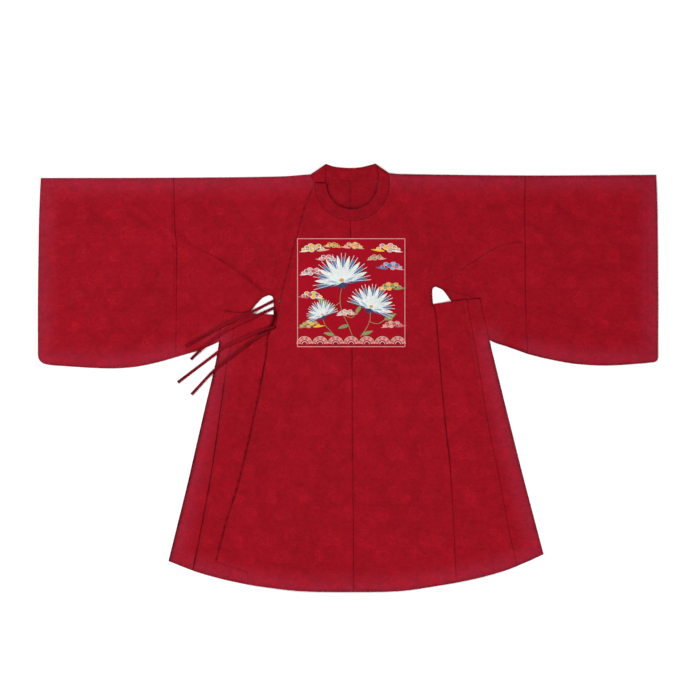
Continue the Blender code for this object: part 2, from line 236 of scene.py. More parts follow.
def neck_arc(radius, start, end):
    """Part of a circle round the neck."""
    pieces = math.ceil(abs(end - start) * radius * MM / EDGE_STEP)
    turns = np.linspace(start, end, pieces + 1)
    return (np.array(NECK) + radius * np.column_stack([np.cos(turns), np.sin(turns)])) * MM


def at_x(path, x):
    """The point of a left-to-right line at a value of X."""
    return np.array([[x, np.interp(x, path[:, 0], path[:, 1])]])


def between(path, start, end):
    """The stretch of a left-to-right line between two values of X, in either direction."""
    low, high = sorted((start, end))
    inner = path[(path[:, 0] > low + EDGE_STEP / 4) & (path[:, 0] < high - EDGE_STEP / 4)]
    stretch = np.vstack([at_x(path, low), inner, at_x(path, high)])
    return stretch if start < end else stretch[::-1]


def chain(*lines):
    """One closed loop, anticlockwise, from lines that follow each other."""
    loop = []
    for point in np.vstack(lines):
        if not loop or np.linalg.norm(point - loop[-1]) > MEET:
            loop.append(point)
    if np.linalg.norm(loop[0] - loop[-1]) <= MEET:
        loop.pop()
    loop = np.array(loop)
    return loop if area_of(loop) > 0 else loop[::-1]


def area_of(loop):
    """The signed area of a loop, positive when it runs anticlockwise."""
    after = np.roll(loop, -1, 0)
    return float(np.sum(loop[:, 0] * after[:, 1] - loop[:, 1] * after[:, 0])) / 2


line = {name: curve(rows) for name, rows in EDGES.items()}
for name, rows in EDGES_TO_HEM.items():
    line[name] = curve(rows)
    line[name][-1] = at_x(line["hem"], line[name][-1, 0])
for name, rows in STRAIGHT_EDGES.items():
    line[name] = straight(rows)
line["lap_corner"][-1] = at_x(line["hem"], line["lap_corner"][-1, 0])
line["band_left"] = neck_arc(NECK_OUTER, math.pi, CENTRE_TURN)
line["band_right"] = neck_arc(NECK_OUTER, CENTRE_TURN, 2 * math.pi)
line["hidden_neck"] = np.vstack([line["hidden_neck"], neck_arc(NECK_HIDDEN, math.pi, CENTRE_TURN)])
line["neck_inner"] = neck_arc(NECK_INNER, 2 * math.pi, math.pi)
line["band_middle"] = neck_arc(NECK_MIDDLE, 2 * math.pi, math.pi)
for side in ("left", "right"):
    line["cuff_" + side] = np.vstack([line["cuff_" + side], line.pop("cuff_corner_" + side)])
print("points on the seams", sum(len(points) for points in line.values()))

# %% Measure from points to lines
SHARPEST_CORNER = 0.4


def closed(loop):
    """A loop as a line that ends where it starts."""
    return np.vstack([loop, loop[:1]])


def nearest(points, path):
    """How far each point is from a path, and how far along the path its nearest spot lies."""
    best = np.full(len(points), np.inf)
    along = np.zeros(len(points))
    run = 0.0
    for start, end in zip(path, path[1:]):
        step = end - start
        length = np.linalg.norm(step)
        if length == 0:
            continue
        t = np.clip((points - start) @ step / length**2, 0, 1)
        away = np.linalg.norm(points - start - t[:, None] * step, axis=1)
        closer = away < best
        along[closer] = run + t[closer] * length
        best[closer] = away[closer]
        run += length
    return best, along


def inside(points, loop):
    """Which points lie inside a loop."""
    crossings = np.zeros(len(points), int)
    for start, end in zip(loop, np.roll(loop, -1, 0)):
        spans = (start[1] > points[:, 1]) != (end[1] > points[:, 1])
        if spans.any():
            x = start[0] + (end[0] - start[0]) * (points[:, 1] - start[1]) / (end[1] - start[1])
            crossings += spans & (x > points[:, 0])
    return crossings % 2 == 1


def inset(loop, distance):
    """An anticlockwise loop drawn in by a distance, corners kept sharp."""
    first = loop - np.roll(loop, 1, 0)
    second = np.roll(loop, -1, 0) - loop
    first /= np.linalg.norm(first, axis=1)[:, None]
    second /= np.linalg.norm(second, axis=1)[:, None]
    inward = np.column_stack([-first[:, 1] - second[:, 1], first[:, 0] + second[:, 0]])
    inward /= np.linalg.norm(inward, axis=1)[:, None]
    lean = inward[:, 0] * -first[:, 1] + inward[:, 1] * first[:, 0]
    return loop + inward * distance / np.maximum(lean, SHARPEST_CORNER)[:, None]


def smooth(t):
    """A smooth step from 0 to 1."""
    t = np.clip(t, 0, 1)
    return t * t * (3 - 2 * t)


def shifted(path, distance):
    """A line moved sideways, to its right when the distance is positive."""
    step = np.gradient(path, axis=0)
    step /= np.linalg.norm(step, axis=1)[:, None]
    return path + np.column_stack([step[:, 1], -step[:, 0]]) * distance


hem_start = line["hem"][:1]
print("the hem starts", round(nearest(hem_start, line["centre_front"])[0][0] / MM), "mm from the centre seam")

# %% [markdown]
# ## Folds
# Pressed silk on a table keeps a few soft folds: drag lines from the armpits, ripples down the skirt, and
# faint creases where it was folded away. They could come from a noise texture, but real folds have a place,
# a length and a depth. Here each is a short line, given with its height and width, and a slow swell lies
# below them. Every layer gets the same relief, so that no layer cuts through another. Where a crease is
# pinched, shade is also painted along its line, standing in for its shadow.

# %% Place the folds
# A fold's shade is how much shade is painted along its line, standing in for the crease's shadow.
Fold = namedtuple("Fold", "rows height half_width crisp shade", defaults=(0.0,))
FOLDS = [
    Fold([(-478, 414), (-467, 409), (-407, 377), (-347, 335), (-292, 290), (-266, 268)], 2.1, 6, True, 0.86),
    Fold([(-558, 486), (-530, 448), (-496, 424), (-462, 406)], -2.2, 10, False, 0.30),
    Fold([(-500, 405), (-432, 366), (-370, 326), (-300, 276)], -1.4, 12, False, 0.10),
    Fold([(-354, 348), (-318, 316), (-276, 284), (-256, 272)], 1.5, 6, True, 0.50),
    Fold([(306, 314), (324, 322), (352, 337), (380, 360), (408, 376), (445, 402), (487, 423), (538, 437),
          (568, 435)], 2.0, 6, True, 0.56),
    Fold([(330, 300), (400, 352), (470, 392), (540, 408)], -1.2, 13, False),
    Fold([(296, 292), (330, 280), (371, 267), (426, 254)], 2.0, 6, True, 0.6),
    Fold([(300, 276), (340, 262), (392, 248)], 1.2, 6, True, 0.3),
    Fold([(370, 246), (382, 170), (398, 85), (419, -40)], 0.5, 5, True, 0.3),
    Fold([(-571, 620), (-569, 470), (-563, 380), (-565, 200)], 0.9, 5, True, 0.35),
    Fold([(-960, 610), (-880, 520), (-760, 430), (-690, 400)], 2.2, 26, False),
    Fold([(-985, 500), (-900, 430), (-830, 350), (-700, 300), (-590, 292)], 1.7, 30, False),
    Fold([(-720, 620), (-650, 530), (-605, 420), (-590, 330)], 1.5, 22, False),
    Fold([(-985, 280), (-860, 205), (-730, 160), (-600, 165)], 1.9, 28, False),
    Fold([(-930, 120), (-800, 85), (-680, 80), (-590, 100)], 1.5, 20, False),
    Fold([(-850, 640), (-845, 470), (-852, 250)], 0.6, 7, True),
    Fold([(-742, 545), (-684, 516), (-627, 481), (-577, 448)], -1.5, 12, False, 0.26),
    Fold([(-845, 552), (-799, 509), (-756, 481)], -1.2, 9, False, 0.22),
    Fold([(-699, 573), (-627, 523), (-570, 495)], -1.3, 11, False, 0.20),
    Fold([(-576, 392), (-612, 340), (-641, 258)], -1.3, 13, False, 0.20),
    Fold([(-985, 194), (-899, 230), (-792, 287)], 1.6, 14, False, 0.08),
    Fold([(-921, 330), (-856, 287), (-813, 230)], -1.2, 12, False, 0.16),
    Fold([(-720, 79), (-627, 158), (-570, 222)], -1.4, 14, False, 0.16),
    Fold([(576, 509), (598, 487), (636, 471)], -1.2, 8, False, 0.30),
    Fold([(662, 568), (702, 532), (743, 509), (786, 506)], -1.3, 11, False, 0.22),
    Fold([(716, 503), (818, 487), (969, 461)], -1.3, 13, False, 0.16),
    Fold([(582, 471), (612, 434), (641, 407)], -1.4, 9, False, 0.26),
    Fold([(754, 385), (818, 362), (883, 342)], -1.2, 14, False, 0.16),
    Fold([(590, 238), (700, 192), (860, 152)], -1.3, 15, False, 0.14),
    Fold([(-494, 569), (-416, 514), (-375, 478)], -1.2, 14, False, 0.13),
    Fold([(500, 560), (430, 520), (390, 470)], -1.0, 14, False, 0.10),
    Fold([(-520, 615), (-430, 545), (-330, 505), (-240, 500)], 1.3, 24, False),
    Fold([(-300, 620), (-282, 520), (-262, 400)], 1.3, 18, False),
    Fold([(-548, 330), (-460, 275), (-385, 215)], 1.7, 18, False),
    Fold([(-530, 220), (-460, 180), (-420, 140)], 1.1, 14, False),
    Fold([(965, 600), (900, 540), (800, 470), (690, 430)], 1.9, 25, False),
    Fold([(985, 430), (880, 350), (760, 300), (600, 310)], 1.8, 31, False),
    Fold([(700, 625), (660, 540), (625, 440), (600, 380)], 1.4, 20, False),
    Fold([(985, 240), (860, 180), (740, 150), (600, 180)], 1.8, 26, False),
    Fold([(930, 110), (820, 85), (700, 95)], 1.3, 18, False),
    Fold([(958, 640), (961, 420), (958, 90)], 0.8, 6, True),
    Fold([(880, 640), (872, 460), (880, 260)], 0.6, 8, True),
    Fold([(540, 620), (450, 560), (340, 520), (230, 520)], 1.4, 25, False),
    Fold([(230, 610), (245, 500), (262, 380)], 1.3, 20, False),
    Fold([(560, 300), (480, 250), (420, 190)], 1.5, 18, False),
    Fold([(-70, 492), (10, 474), (100, 494)], 1.3, 16, False),
    Fold([(-150, 86), (0, 70), (172, 86)], 0.9, 14, False),
    Fold([(-190, 600), (-205, 490), (-222, 360)], 1.1, 14, False),
    Fold([(-180, 70), (-205, -150), (-236, -400), (-262, -620)], 1.7, 26, False),
    Fold([(-292, -180), (-286, -330), (-270, -505)], 1.0, 20, False, 0.16),
    Fold([(-85, 40), (-100, -220), (-126, -470), (-140, -660)], 1.2, 33, False),
    Fold([(-30, 60), (-36, -120), (-50, -300)], 0.9, 16, False),
    Fold([(70, 60), (82, -200), (100, -430), (108, -650)], 1.5, 29, False),
    Fold([(150, 60), (176, -150), (200, -380), (226, -640)], 1.7, 27, False),
    Fold([(235, 190), (255, -60), (276, -300), (300, -560)], 1.3, 22, False),
    Fold([(-300, 80), (-330, -120), (-372, -330), (-402, -480)], 1.3, 14, False),
    Fold([(-330, 180), (-344, 40), (-368, -120)], 1.2, 11, False),
    Fold([(-410, 20), (-452, -190), (-500, -400), (-536, -570)], 1.3, 15, False),
    Fold([(345, 190), (368, 0), (404, -220), (440, -520)], 1.3, 16, False),
    Fold([(440, 130), (490, -100), (540, -330), (590, -560)], 1.2, 15, False),
    Fold([(-420, -430), (-200, -436), (0, -430), (200, -438), (470, -428)], 0.5, 6, True),
    Fold([(-330, -142), (-100, -148), (120, -143), (400, -150)], 0.4, 6, True),
    Fold([(-233, 226), (-235, 208), (-237, 190), (-246, 168), (-268, 150), (-300, 136)], -1.6, 20, True, 1.7),
    Fold([(-247, 207), (-252, 178), (-272, 166)], 1.4, 6, True, 0.4),
    Fold([(-256, 160), (-276, 142), (-302, 124)], -0.6, 13, False, 0.55),
    Fold([(-226, 420), (-240, 330), (-252, 286)], 0.8, 6, True, 0.25),
]
FOLD_STEP = 20 * MM
FOLD_GAIN = 1.8
FOLD_REACH = 5
CRISP_POWER, SOFT_POWER = 1.2, 2.0
END_SHARE, END_POWER = 0.02, 0.6
CRISP_REACH = 0.36
SOFT_REACH = 0.85
CREASE_FADE = 14 * MM
CREASE_STEP = 6 * MM
CREASE_ROWS = (-0.9, -0.4, 0.0, 0.4, 0.9)
SWELL_SEED = 11
SWELL_WAVES = 14
SWELL_HEIGHT = 0.55 * MM
SWELL_SWING = 2.2
SWELL_LENGTHS = (90 * MM, 330 * MM)


def swell_waves():
    """The slow waves of the swell: a direction and a length, a start and a share for each."""
    rng = np.random.default_rng(SWELL_SEED)
    turn = rng.uniform(0, math.pi, SWELL_WAVES)
    length = rng.uniform(*SWELL_LENGTHS, SWELL_WAVES)
    waves = np.column_stack([np.cos(turn), np.sin(turn)]) * (2 * math.pi / length)[:, None]
    return waves, rng.uniform(0, 2 * math.pi, SWELL_WAVES), length / length.sum()


def swell(points):
    """The slow swell of the cloth, never below zero."""
    waves, start, share = swell_waves()
    value = np.sin(points @ waves.T + start) @ share
    return SWELL_HEIGHT * (1 + SWELL_SWING * value)


def folded(points):
    """The height that the folds add."""
    height = np.zeros(len(points))
    for fold in FOLDS:
        path = curve(fold.rows, FOLD_STEP)
        half = fold.half_width * MM
        low, high = path.min(0) - FOLD_REACH * half, path.max(0) + FOLD_REACH * half
        near = ((points > low) & (points < high)).all(1)
        if not near.any():
            continue
        away, along = nearest(points[near], path)
        ends = 0
        if along.max() > 0:
            share = np.clip(along / along.max(), END_SHARE, 1 - END_SHARE)
            ends = np.sin(math.pi * share) ** END_POWER
        power = CRISP_POWER if fold.crisp else SOFT_POWER
        height[near] += FOLD_GAIN * fold.height * MM * ends * np.exp(-(away / half) ** power)
    return height


def crease_shade(points):
    """How much shade is painted in the pinched creases, fading at their ends."""
    shade = np.zeros(len(points))
    for fold in FOLDS:
        if fold.shade:
            away, along = nearest(points, curve(fold.rows))
            fade = smooth(np.minimum(along, along.max() - along) / CREASE_FADE)
            reach = (CRISP_REACH if fold.crisp else SOFT_REACH) * fold.half_width * MM
            shade = np.maximum(shade, fold.shade * fade * np.exp(-(away / reach) ** 2))
    return shade


def crease_spots():
    """Extra points along the crisp folds, where the cloth bends most."""
    spots = []
    for fold in FOLDS:
        if fold.crisp:
            path = curve(fold.rows, CREASE_STEP)
            spots += [shifted(path, share * fold.half_width * MM) for share in CREASE_ROWS]
    return np.vstack(spots)


print("folds placed", len(FOLDS), "with", len(crease_spots()), "extra points")

# %% Taper the relief at folded edges, and pucker the seams
TAPER = 38 * MM
PUCKER_HEIGHT = 0.22 * MM
PUCKER_BASE, PUCKER_SWING = 0.7, 0.42
PUCKER_LENGTH = 27 * MM
DRIFT, DRIFT_LENGTH = 2.0, 41 * MM
PUCKER_REACH = 13 * MM
CLOSED_EDGES = ["shoulder_left", "shoulder_right", "underarm_left_out", "underarm_left_in",
                "underarm_right_out", "underarm_right_in", "armpit_left", "armpit_right"]
PUCKERED_SEAMS = ["sleeve_seam_left", "sleeve_seam_right", "centre_front", "lap_top", "lap_side",
                  "side_seam_right", "pleat_left", "pleat_right", "hem", "cuff_left", "cuff_right"]


def puckers(points):
    """Small waves along the sewn lines, which die out a little way off."""
    height = np.zeros(len(points))
    for number, name in enumerate(PUCKERED_SEAMS):
        away, along = nearest(points, line[name][::3])
        drift = DRIFT * np.sin(along / DRIFT_LENGTH + number)
        wave = np.sin(2 * math.pi * along / PUCKER_LENGTH + drift)
        height += PUCKER_HEIGHT * (PUCKER_BASE + PUCKER_SWING * wave) * np.exp(-away / PUCKER_REACH)
    return height


def relief(points):
    """The height of the robe's folds, swell and puckers, the same for every layer."""
    away = np.min([nearest(points, line[name][::2])[0] for name in CLOSED_EDGES], axis=0)
    return np.maximum(swell(points) + folded(points) + puckers(points), 0) * smooth(away / TAPER)


print("relief over the chest", relief(np.array([[0.25, 0.4], [-0.22, 0.3]])) / MM, "mm")

# %% [markdown]
# ## Layers
# A laid-out robe is a low stack: back, under front, outer front with its lap, badge. The gap between two
# layers is the seam's, so the levels are the solids' own. A cloth's outer edge is pressed, so it comes
# down a little, and the seam between two pieces shows as a fine groove.

# %% Give each layer its height
FRONT_FALL = 240 * MM
EDGE_DROP = 0.45 * MM
EDGE_WIDTH = 3.5 * MM
HEM_WIDTH = 9 * MM
HEM_RISE = 0.25 * MM
SLEEVE_STACK = 1.2 * MM + LAYER
RAMP_TOP = 4 * MM
RAMP_FOOT = 22 * MM


def level(z):
    """A height that is the same all over a piece."""
    return lambda points: np.full(len(points), z)


def outer_front(points):
    """The underside of the outer front: high left of the centre seam, lower to the right of it."""
    fall = smooth((points[:, 0] - line["centre_front"][0, 0]) / FRONT_FALL)
    return 2 * LAYER - LAYER * fall


def over_sleeve(sleeve, lift):
    """The height of a side panel: it lies on the sleeve, and comes down beside it."""
    def height(points):
        away = np.where(inside(points, sleeve), 0, nearest(points, closed(sleeve))[0])
        down = (away - RAMP_TOP) / (RAMP_FOOT - RAMP_TOP)
        return lift + (SLEEVE_STACK + SEAM) * (1 - np.clip(down, 0, 1))
    return height


def pressed(points, loop):
    """How far a piece's edge comes down, with the small rise of its turned-in cloth beside it."""
    away = nearest(points, closed(loop))[0]
    rise = HEM_RISE * smooth(away / EDGE_WIDTH) * (1 - smooth((away - HEM_WIDTH) / EDGE_WIDTH))
    return rise - EDGE_DROP * (1 - smooth(away / EDGE_WIDTH))


def laid(base, loop):
    """The height of a cloth that shows: its layer, the robe's relief, and its own pressed edge."""
    return lambda points: np.maximum(base(points) + relief(points) + pressed(points, loop), 0)


chest = np.array([[0.0, 0.3]])
print("stack on the chest", round(float(outer_front(chest)[0] + LAYER) / MM, 2), "mm to the badge")

# %% [markdown]
# ## From an outline to a cloth
# A cloth could be cut from a grid, but a grid's steps show at a slanting edge. So an outline is filled with
# triangles: rows of points follow the edge, where the pressed fold needs them, and an even pattern of
# points fills the rest. Each vertex also notes the shade painted on it, and how near it is to the robe's rim.

# %% Fill an outline with points
FINE = 8 * MM
COARSE = 30 * MM
EDGE_ROWS = (1.3 * MM, 3.0 * MM, 5.5 * MM)
ROW_CLEAR = 0.85
NECK_SHOWN = 135 * MM
INSIDE_THE_EDGES = 1
MERGE = 1e-6
Filled = namedtuple("Filled", "points triangles rim")


def lattice(loop, step):
    """Points on a grid of equal triangles over a loop's box."""
    low, high = loop.min(0), loop.max(0)
    row_height = step * math.sqrt(3) / 2
    rows = np.arange(math.floor(low[1] / row_height), math.ceil(high[1] / row_height) + 1)
    columns = np.arange(math.floor(low[0] / step) - 1, math.ceil(high[0] / step) + 1)
    x = (columns[None, :] + (rows[:, None] % 2) / 2) * step
    y = np.repeat(rows[:, None] * row_height, len(columns), 1)
    return np.column_stack([x.ravel(), y.ravel()])


def near_neck(points):
    """Which points show through the neck, or lie beside it."""
    return np.linalg.norm(points - np.array(NECK) * MM, axis=1) < NECK_SHOWN


def within(spots, rim, clear):
    """The spots that lie inside a rim and clear of it."""
    spots = spots[inside(spots, rim)]
    return spots[nearest(spots, closed(rim))[0] > clear] if len(spots) else spots


def filled(loop, step, hidden=False):
    """A loop filled with triangles, its rim first. A hidden one is fine only where the neck shows it."""
    rim = inset(loop, SEAM / 2)
    spots = [rim]
    for row in EDGE_ROWS:
        drawn = within(inset(rim, row), rim, ROW_CLEAR * row)
        spots.append(drawn[near_neck(drawn)] if hidden else drawn)
    grid = lattice(rim, step)
    if hidden:
        fine = lattice(rim, FINE)
        grid = np.vstack([grid[~near_neck(grid)], fine[near_neck(fine)]])
    else:
        creases = within(crease_spots(), rim, EDGE_ROWS[-1] + step / 4)
        if len(creases):
            spots.append(creases)
            grid = grid[[np.linalg.norm(creases - spot, axis=1).min() > step / 2 for spot in grid]]
    spots.append(within(grid, rim, EDGE_ROWS[-1] + step / 2))
    edges = [(i, (i + 1) % len(rim)) for i in range(len(rim))]
    spots = [Vector(spot) for spot in np.vstack(spots)]
    flat, _, triangles, *_ = delaunay_2d_cdt(spots, edges, [], INSIDE_THE_EDGES, MERGE)
    return Filled(np.array([tuple(p) for p in flat]), triangles, len(rim))


print("points over the lap's edge", len(lattice(line["lap_side"], FINE)))

# %% Note the painted shade and the rim on the vertices
# How far painted shade spreads from a seam, and from the robe's outline.
SEAM_REACH = 2.1 * MM
OUTLINE_REACH = 6 * MM
RIM_REACH = 82 * MM
# Painted shade over the back where it shows through the neck, and a painted shadow by the neck's inner edge.
BACK_SHADE = 0.25
NECK_SHADOW = 0.34
NECK_SHADOW_REACH = 9 * MM
ALONG_SHARE = 0.03
# How dark the painted shade is along the robe's outline and along each seam.
PANEL_EDGES = {"panel_left": 1.6, "panel_right": 0.9}
OUTLINE_DEPTH = {
    "cuff_left": 0.5, "cuff_right": 0.55, "hem": 0.75, "underarm_left_out": 0.6, "underarm_right_out": 0.8,
    "underarm_left_in": 0.55, "underarm_right_in": 0.9, "armpit_left": 0.7, "armpit_right": 1.0,
    "shoulder_left": 0.42, "shoulder_right": 0.8, "neck_stand": 0.55, "slope_left": 0.5,
    "slope_right": 0.5, **PANEL_EDGES,
}
SEAM_DEPTH = {
    "centre_front": 0.5, "sleeve_seam_left": 0.85, "sleeve_seam_right": 0.85, "lap_top": 1.0,
    "lap_side": 1.35, "lap_corner": 0.3, "side_seam_right": 1.15, "pleat_left": 1.7, "pleat_right": 0.22,
    "panel_top_left": 0.8, "panel_top_right": 1.0, "band_left": 0.12, "band_right": 0.10,
    "band_limb": 0.15, "band_limb_inner": 1.0, "neck_inner": 1.1, "neck_back": 0.05, "centre_back": 0.65,
    **OUTLINE_DEPTH,
}
FADING_SEAMS = ["sleeve_seam_left", "sleeve_seam_right", "side_seam_right"]
FADE_START = 0.45
FADED = 0.4
GROWING_SEAMS = ["pleat_left"]
GROWN = (0.12, 0.42)
SLEEVE_FOOT = 120 * MM
OVER_SLEEVE = 0.4
RIM_LINES = [line[name][::3] for name in ("cuff_left", "cuff_right", "hem", "underarm_left_out",
                                          "underarm_right_out", "shoulder_left", "shoulder_right")]
RIM_LINES += [line[name][line[name][:, 1] < SLEEVE_FOOT][::3] for name in PANEL_EDGES]


def note(mesh, name, values):
    """A number for each vertex, by name."""
    mesh.attributes.new(name, "FLOAT", "POINT").data.foreach_set("value", np.asarray(values, np.float32))


def seams_along(loop):
    """The names of the shaded seams that run along a loop."""
    return [name for name in SEAM_DEPTH
            if (nearest(line[name], closed(loop))[0] < MEET).mean() > ALONG_SHARE]


def seam_shade(points, name):
    """How much shade a seam or the robe's outline paints at each point. A deep seam reaches further, and so
    does the robe's outline.
    """
    away, along = nearest(points, line[name])
    depth, reach = SEAM_DEPTH[name], SEAM_REACH * max(1.0, SEAM_DEPTH[name])
    if name in OUTLINE_DEPTH:
        over = name in PANEL_EDGES and points[:, 1] > SLEEVE_FOOT
        depth, reach = depth * np.where(over, OVER_SLEEVE, 1.0), np.where(over, SEAM_REACH, OUTLINE_REACH)
    dark = depth * np.exp(-(away / reach) ** 2)
    share = along / along.max()
    if name in FADING_SEAMS:
        dark *= 1 - (1 - FADED) * smooth((share - FADE_START) / (1 - FADE_START))
    if name in GROWING_SEAMS:
        dark *= FADED + (1 - FADED) * smooth((share - GROWN[0]) / (GROWN[1] - GROWN[0]))
    return dark


def painted_shade(points, loop, back=False):
    """Painted shade in creases and along its own piece's seams; the back gets more, with a painted shadow by
    the neck.
    """
    shade = crease_shade(points)
    for name in seams_along(loop):
        shade = np.maximum(shade, seam_shade(points, name))
    # The back gets painted shade, and a painted shadow under the collar's inner edge.
    if back:
        away = nearest(points, line["neck_inner"])[0]
        shade += BACK_SHADE + NECK_SHADOW * np.exp(-(away / NECK_SHADOW_REACH) ** 2)
    return shade


def as_piece(name, vertices, faces, material, wall, shade):
    """A piece of cloth from its inner faces, with its wall outwards."""
    mesh = start_mesh(name, vertices.tolist(), faces, material)
    mesh.polygons.foreach_set("use_smooth", [True] * len(mesh.polygons))
    away = np.min([nearest(vertices[:, :2], edge)[0] for edge in RIM_LINES], axis=0)
    # The seam attribute holds painted shade: along seams, in creases, at the outline and on the back by the
    # neck.
    note(mesh, "seam", shade)
    note(mesh, "rim", 1 - smooth(away / RIM_REACH))
    piece = put_in_scene(name, mesh)
    thicken = piece.modifiers.new("wall", "SOLIDIFY")
    thicken.thickness = wall
    thicken.offset = 1.0
    print(name, len(mesh.vertices), "vertices, shaded up to", round(float(shade.max()), 2))
    return piece


print("seams that show", len(SEAM_DEPTH))

# %% Make a single cloth, or one that is folded over
JOIN_REACH = 0.8 * MM


def single_cloth(name, loop, height, material, wall=WALL, step=FINE):
    """One layer of cloth on its heights."""
    fill = filled(loop, step)
    vertices = np.column_stack([fill.points, height(fill.points)])
    return as_piece(name, vertices, fill.triangles, material, wall, painted_shade(fill.points, loop))


def folded_cloth(name, front_loop, front_height, back_loop, joins, material):
    """A front and a back in one cloth, which goes round along the lines that join them."""
    front, back = filled(front_loop, FINE), filled(back_loop, COARSE, hidden=True)
    vertices = np.vstack([np.column_stack([front.points, front_height(front.points)]),
                          np.column_stack([back.points, np.full(len(back.points), WALL)])])
    faces = [tuple(face) for face in front.triangles]
    first = len(front.points)
    faces += [tuple(first + i for i in reversed(face)) for face in back.triangles]
    rim, back_rim = front.points[:front.rim], back.points[:back.rim]
    gaps = np.linalg.norm(rim[:, None] - back_rim[None], axis=2)
    match, far = gaps.argmin(1), gaps.min(1)
    middle = (rim + np.roll(rim, -1, 0)) / 2
    along = np.min([nearest(middle, line[join])[0] for join in joins], axis=0) < JOIN_REACH
    for i in range(front.rim):
        j = (i + 1) % front.rim
        if along[i] and max(far[i], far[j]) < JOIN_REACH and match[i] != match[j]:
            faces.append((j, i, first + match[i], first + match[j]))
    shade = np.concatenate([painted_shade(front.points, front_loop), painted_shade(back.points, back_loop, back=True)])
    return as_piece(name, vertices, faces, material, WALL, shade)


print("a cloth is", WALL / MM, "mm thick")

# %% [markdown]
# ## The silk
# The cloth is a satin with small cloud rounds woven in, a shade lighter than the ground, in a half-drop
# repeat. A picture of the cloth could be laid on it, but a figure worked out from distance and angle stays
# sharp close up. The effects that several cloths share are node groups, and each material mixes them.

# %% Make node trees easier to write
def node(tree, kind, inputs=(), **settings):
    """A node with its settings, and its inputs by name or number: values or other nodes' sockets."""
    made = tree.nodes.new(kind)
    for key, value in settings.items():
        setattr(made, key, value)
    for key, value in dict(inputs).items():
        if isinstance(value, bpy.types.NodeSocket):
            tree.links.new(value, made.inputs[key])
        else:
            made.inputs[key].default_value = value
    return made


def calc(tree, operation, *values):
    """The result of a Math node."""
    return node(tree, "ShaderNodeMath", enumerate(values), operation=operation).outputs[0]


def blend_colours(tree, factor, first, second, kind="MIX"):
    """Two colours mixed."""
    mixed = node(tree, "ShaderNodeMix", {0: factor, 6: first, 7: second}, data_type="RGBA", blend_type=kind)
    return mixed.outputs[2]


def start_group(name, kind, inputs, outputs):
    """A node group with its sockets, and its input and output nodes."""
    tree = bpy.data.node_groups.new(name, kind)
    for title, socket, value in inputs:
        made = tree.interface.new_socket(name=title, in_out="INPUT", socket_type=socket)
        if value is not None:
            made.default_value = value
    for title, socket in outputs:
        tree.interface.new_socket(name=title, in_out="OUTPUT", socket_type=socket)
    return tree, node(tree, "NodeGroupInput"), node(tree, "NodeGroupOutput")


def use_group(tree, group, inputs):
    """A shader group placed in a tree."""
    return node(tree, "ShaderNodeGroup", inputs, node_tree=group)


def patchy(tree, place, patches):
    """Slow patches of noise, stretched between a least and a most."""
    found = node(tree, "ShaderNodeTexNoise", {"Vector": place, "Scale": patches.scale,
                                              "Detail": patches.detail}).outputs["Fac"]
    return node(tree, "ShaderNodeMapRange", {0: found, 1: patches.low, 2: patches.high,
                                             3: patches.least, 4: patches.most}).outputs[0]


Patches = namedtuple("Patches", "scale detail low high least most")
FLOAT, VECTOR = "NodeSocketFloat", "NodeSocketVector"
print("a group's sockets are", FLOAT, "or", VECTOR)

# %% A cloud round, repeated over the cloth
REPEAT_ACROSS, REPEAT_UP = 107 * MM, 139 * MM
LOBE_SWING, LOBE_BASE = 0.13, 0.95
SCROLL_TURNS = 2.4
SCROLL_SHARE = 0.74


def cloud_round():
    """A group: one lobed round with a scroll inside it, in each cell of a repeat."""
    tree, given, out = start_group(
        "cloud_round", "ShaderNodeTree",
        [("Vector", VECTOR, None), ("Across", FLOAT, REPEAT_ACROSS), ("Up", FLOAT, REPEAT_UP),
         ("Shift X", FLOAT, 0.0), ("Shift Y", FLOAT, 0.0), ("Radius", FLOAT, 0.027), ("Lobes", FLOAT, 7.0),
         ("Line", FLOAT, 0.0048)],
        [("Figure", FLOAT)])
    place = node(tree, "ShaderNodeSeparateXYZ", {0: given.outputs["Vector"]})
    local = []
    for axis, size, shift in (("X", "Across", "Shift X"), ("Y", "Up", "Shift Y")):
        cell = calc(tree, "DIVIDE", place.outputs[axis], given.outputs[size])
        cell = calc(tree, "FLOORED_MODULO", calc(tree, "ADD", cell, given.outputs[shift]), 1.0)
        local.append(calc(tree, "MULTIPLY", calc(tree, "SUBTRACT", cell, 0.5), given.outputs[size]))
    x, y = local
    squares = calc(tree, "ADD", calc(tree, "MULTIPLY", x, x), calc(tree, "MULTIPLY", y, y))
    away = calc(tree, "SQRT", squares)
    turn = calc(tree, "ARCTAN2", y, x)
    wave = calc(tree, "COSINE", calc(tree, "MULTIPLY", turn, given.outputs["Lobes"]))
    edge = calc(tree, "MULTIPLY", given.outputs["Radius"],
                calc(tree, "MULTIPLY_ADD", wave, LOBE_SWING, LOBE_BASE))
    ring = calc(tree, "ABSOLUTE", calc(tree, "SUBTRACT", away, edge))
    share = calc(tree, "DIVIDE", away, given.outputs["Radius"])
    scroll = calc(tree, "MULTIPLY_ADD", share, SCROLL_TURNS, calc(tree, "DIVIDE", turn, 2 * math.pi))
    scroll = calc(tree, "ABSOLUTE", calc(tree, "SUBTRACT", calc(tree, "FLOORED_MODULO", scroll, 1.0), 0.5))
    scroll = calc(tree, "MULTIPLY", scroll, calc(tree, "DIVIDE", given.outputs["Radius"], SCROLL_TURNS))
    inner = calc(tree, "LESS_THAN", share, SCROLL_SHARE)
    lines = []
    for gap in (ring, scroll):
        soft = node(tree, "ShaderNodeMapRange", {0: gap, 1: 0.0, 2: given.outputs["Line"], 3: 1.0, 4: 0.0},
                    interpolation_type="SMOOTHSTEP")
        lines.append(soft.outputs[0])
    both = calc(tree, "MAXIMUM", lines[0], calc(tree, "MULTIPLY", lines[1], inner))
    tree.links.new(both, out.inputs["Figure"])
    return tree


CLOUD_ROUND = cloud_round()
print("one cloud round has", len(CLOUD_ROUND.nodes), "nodes")

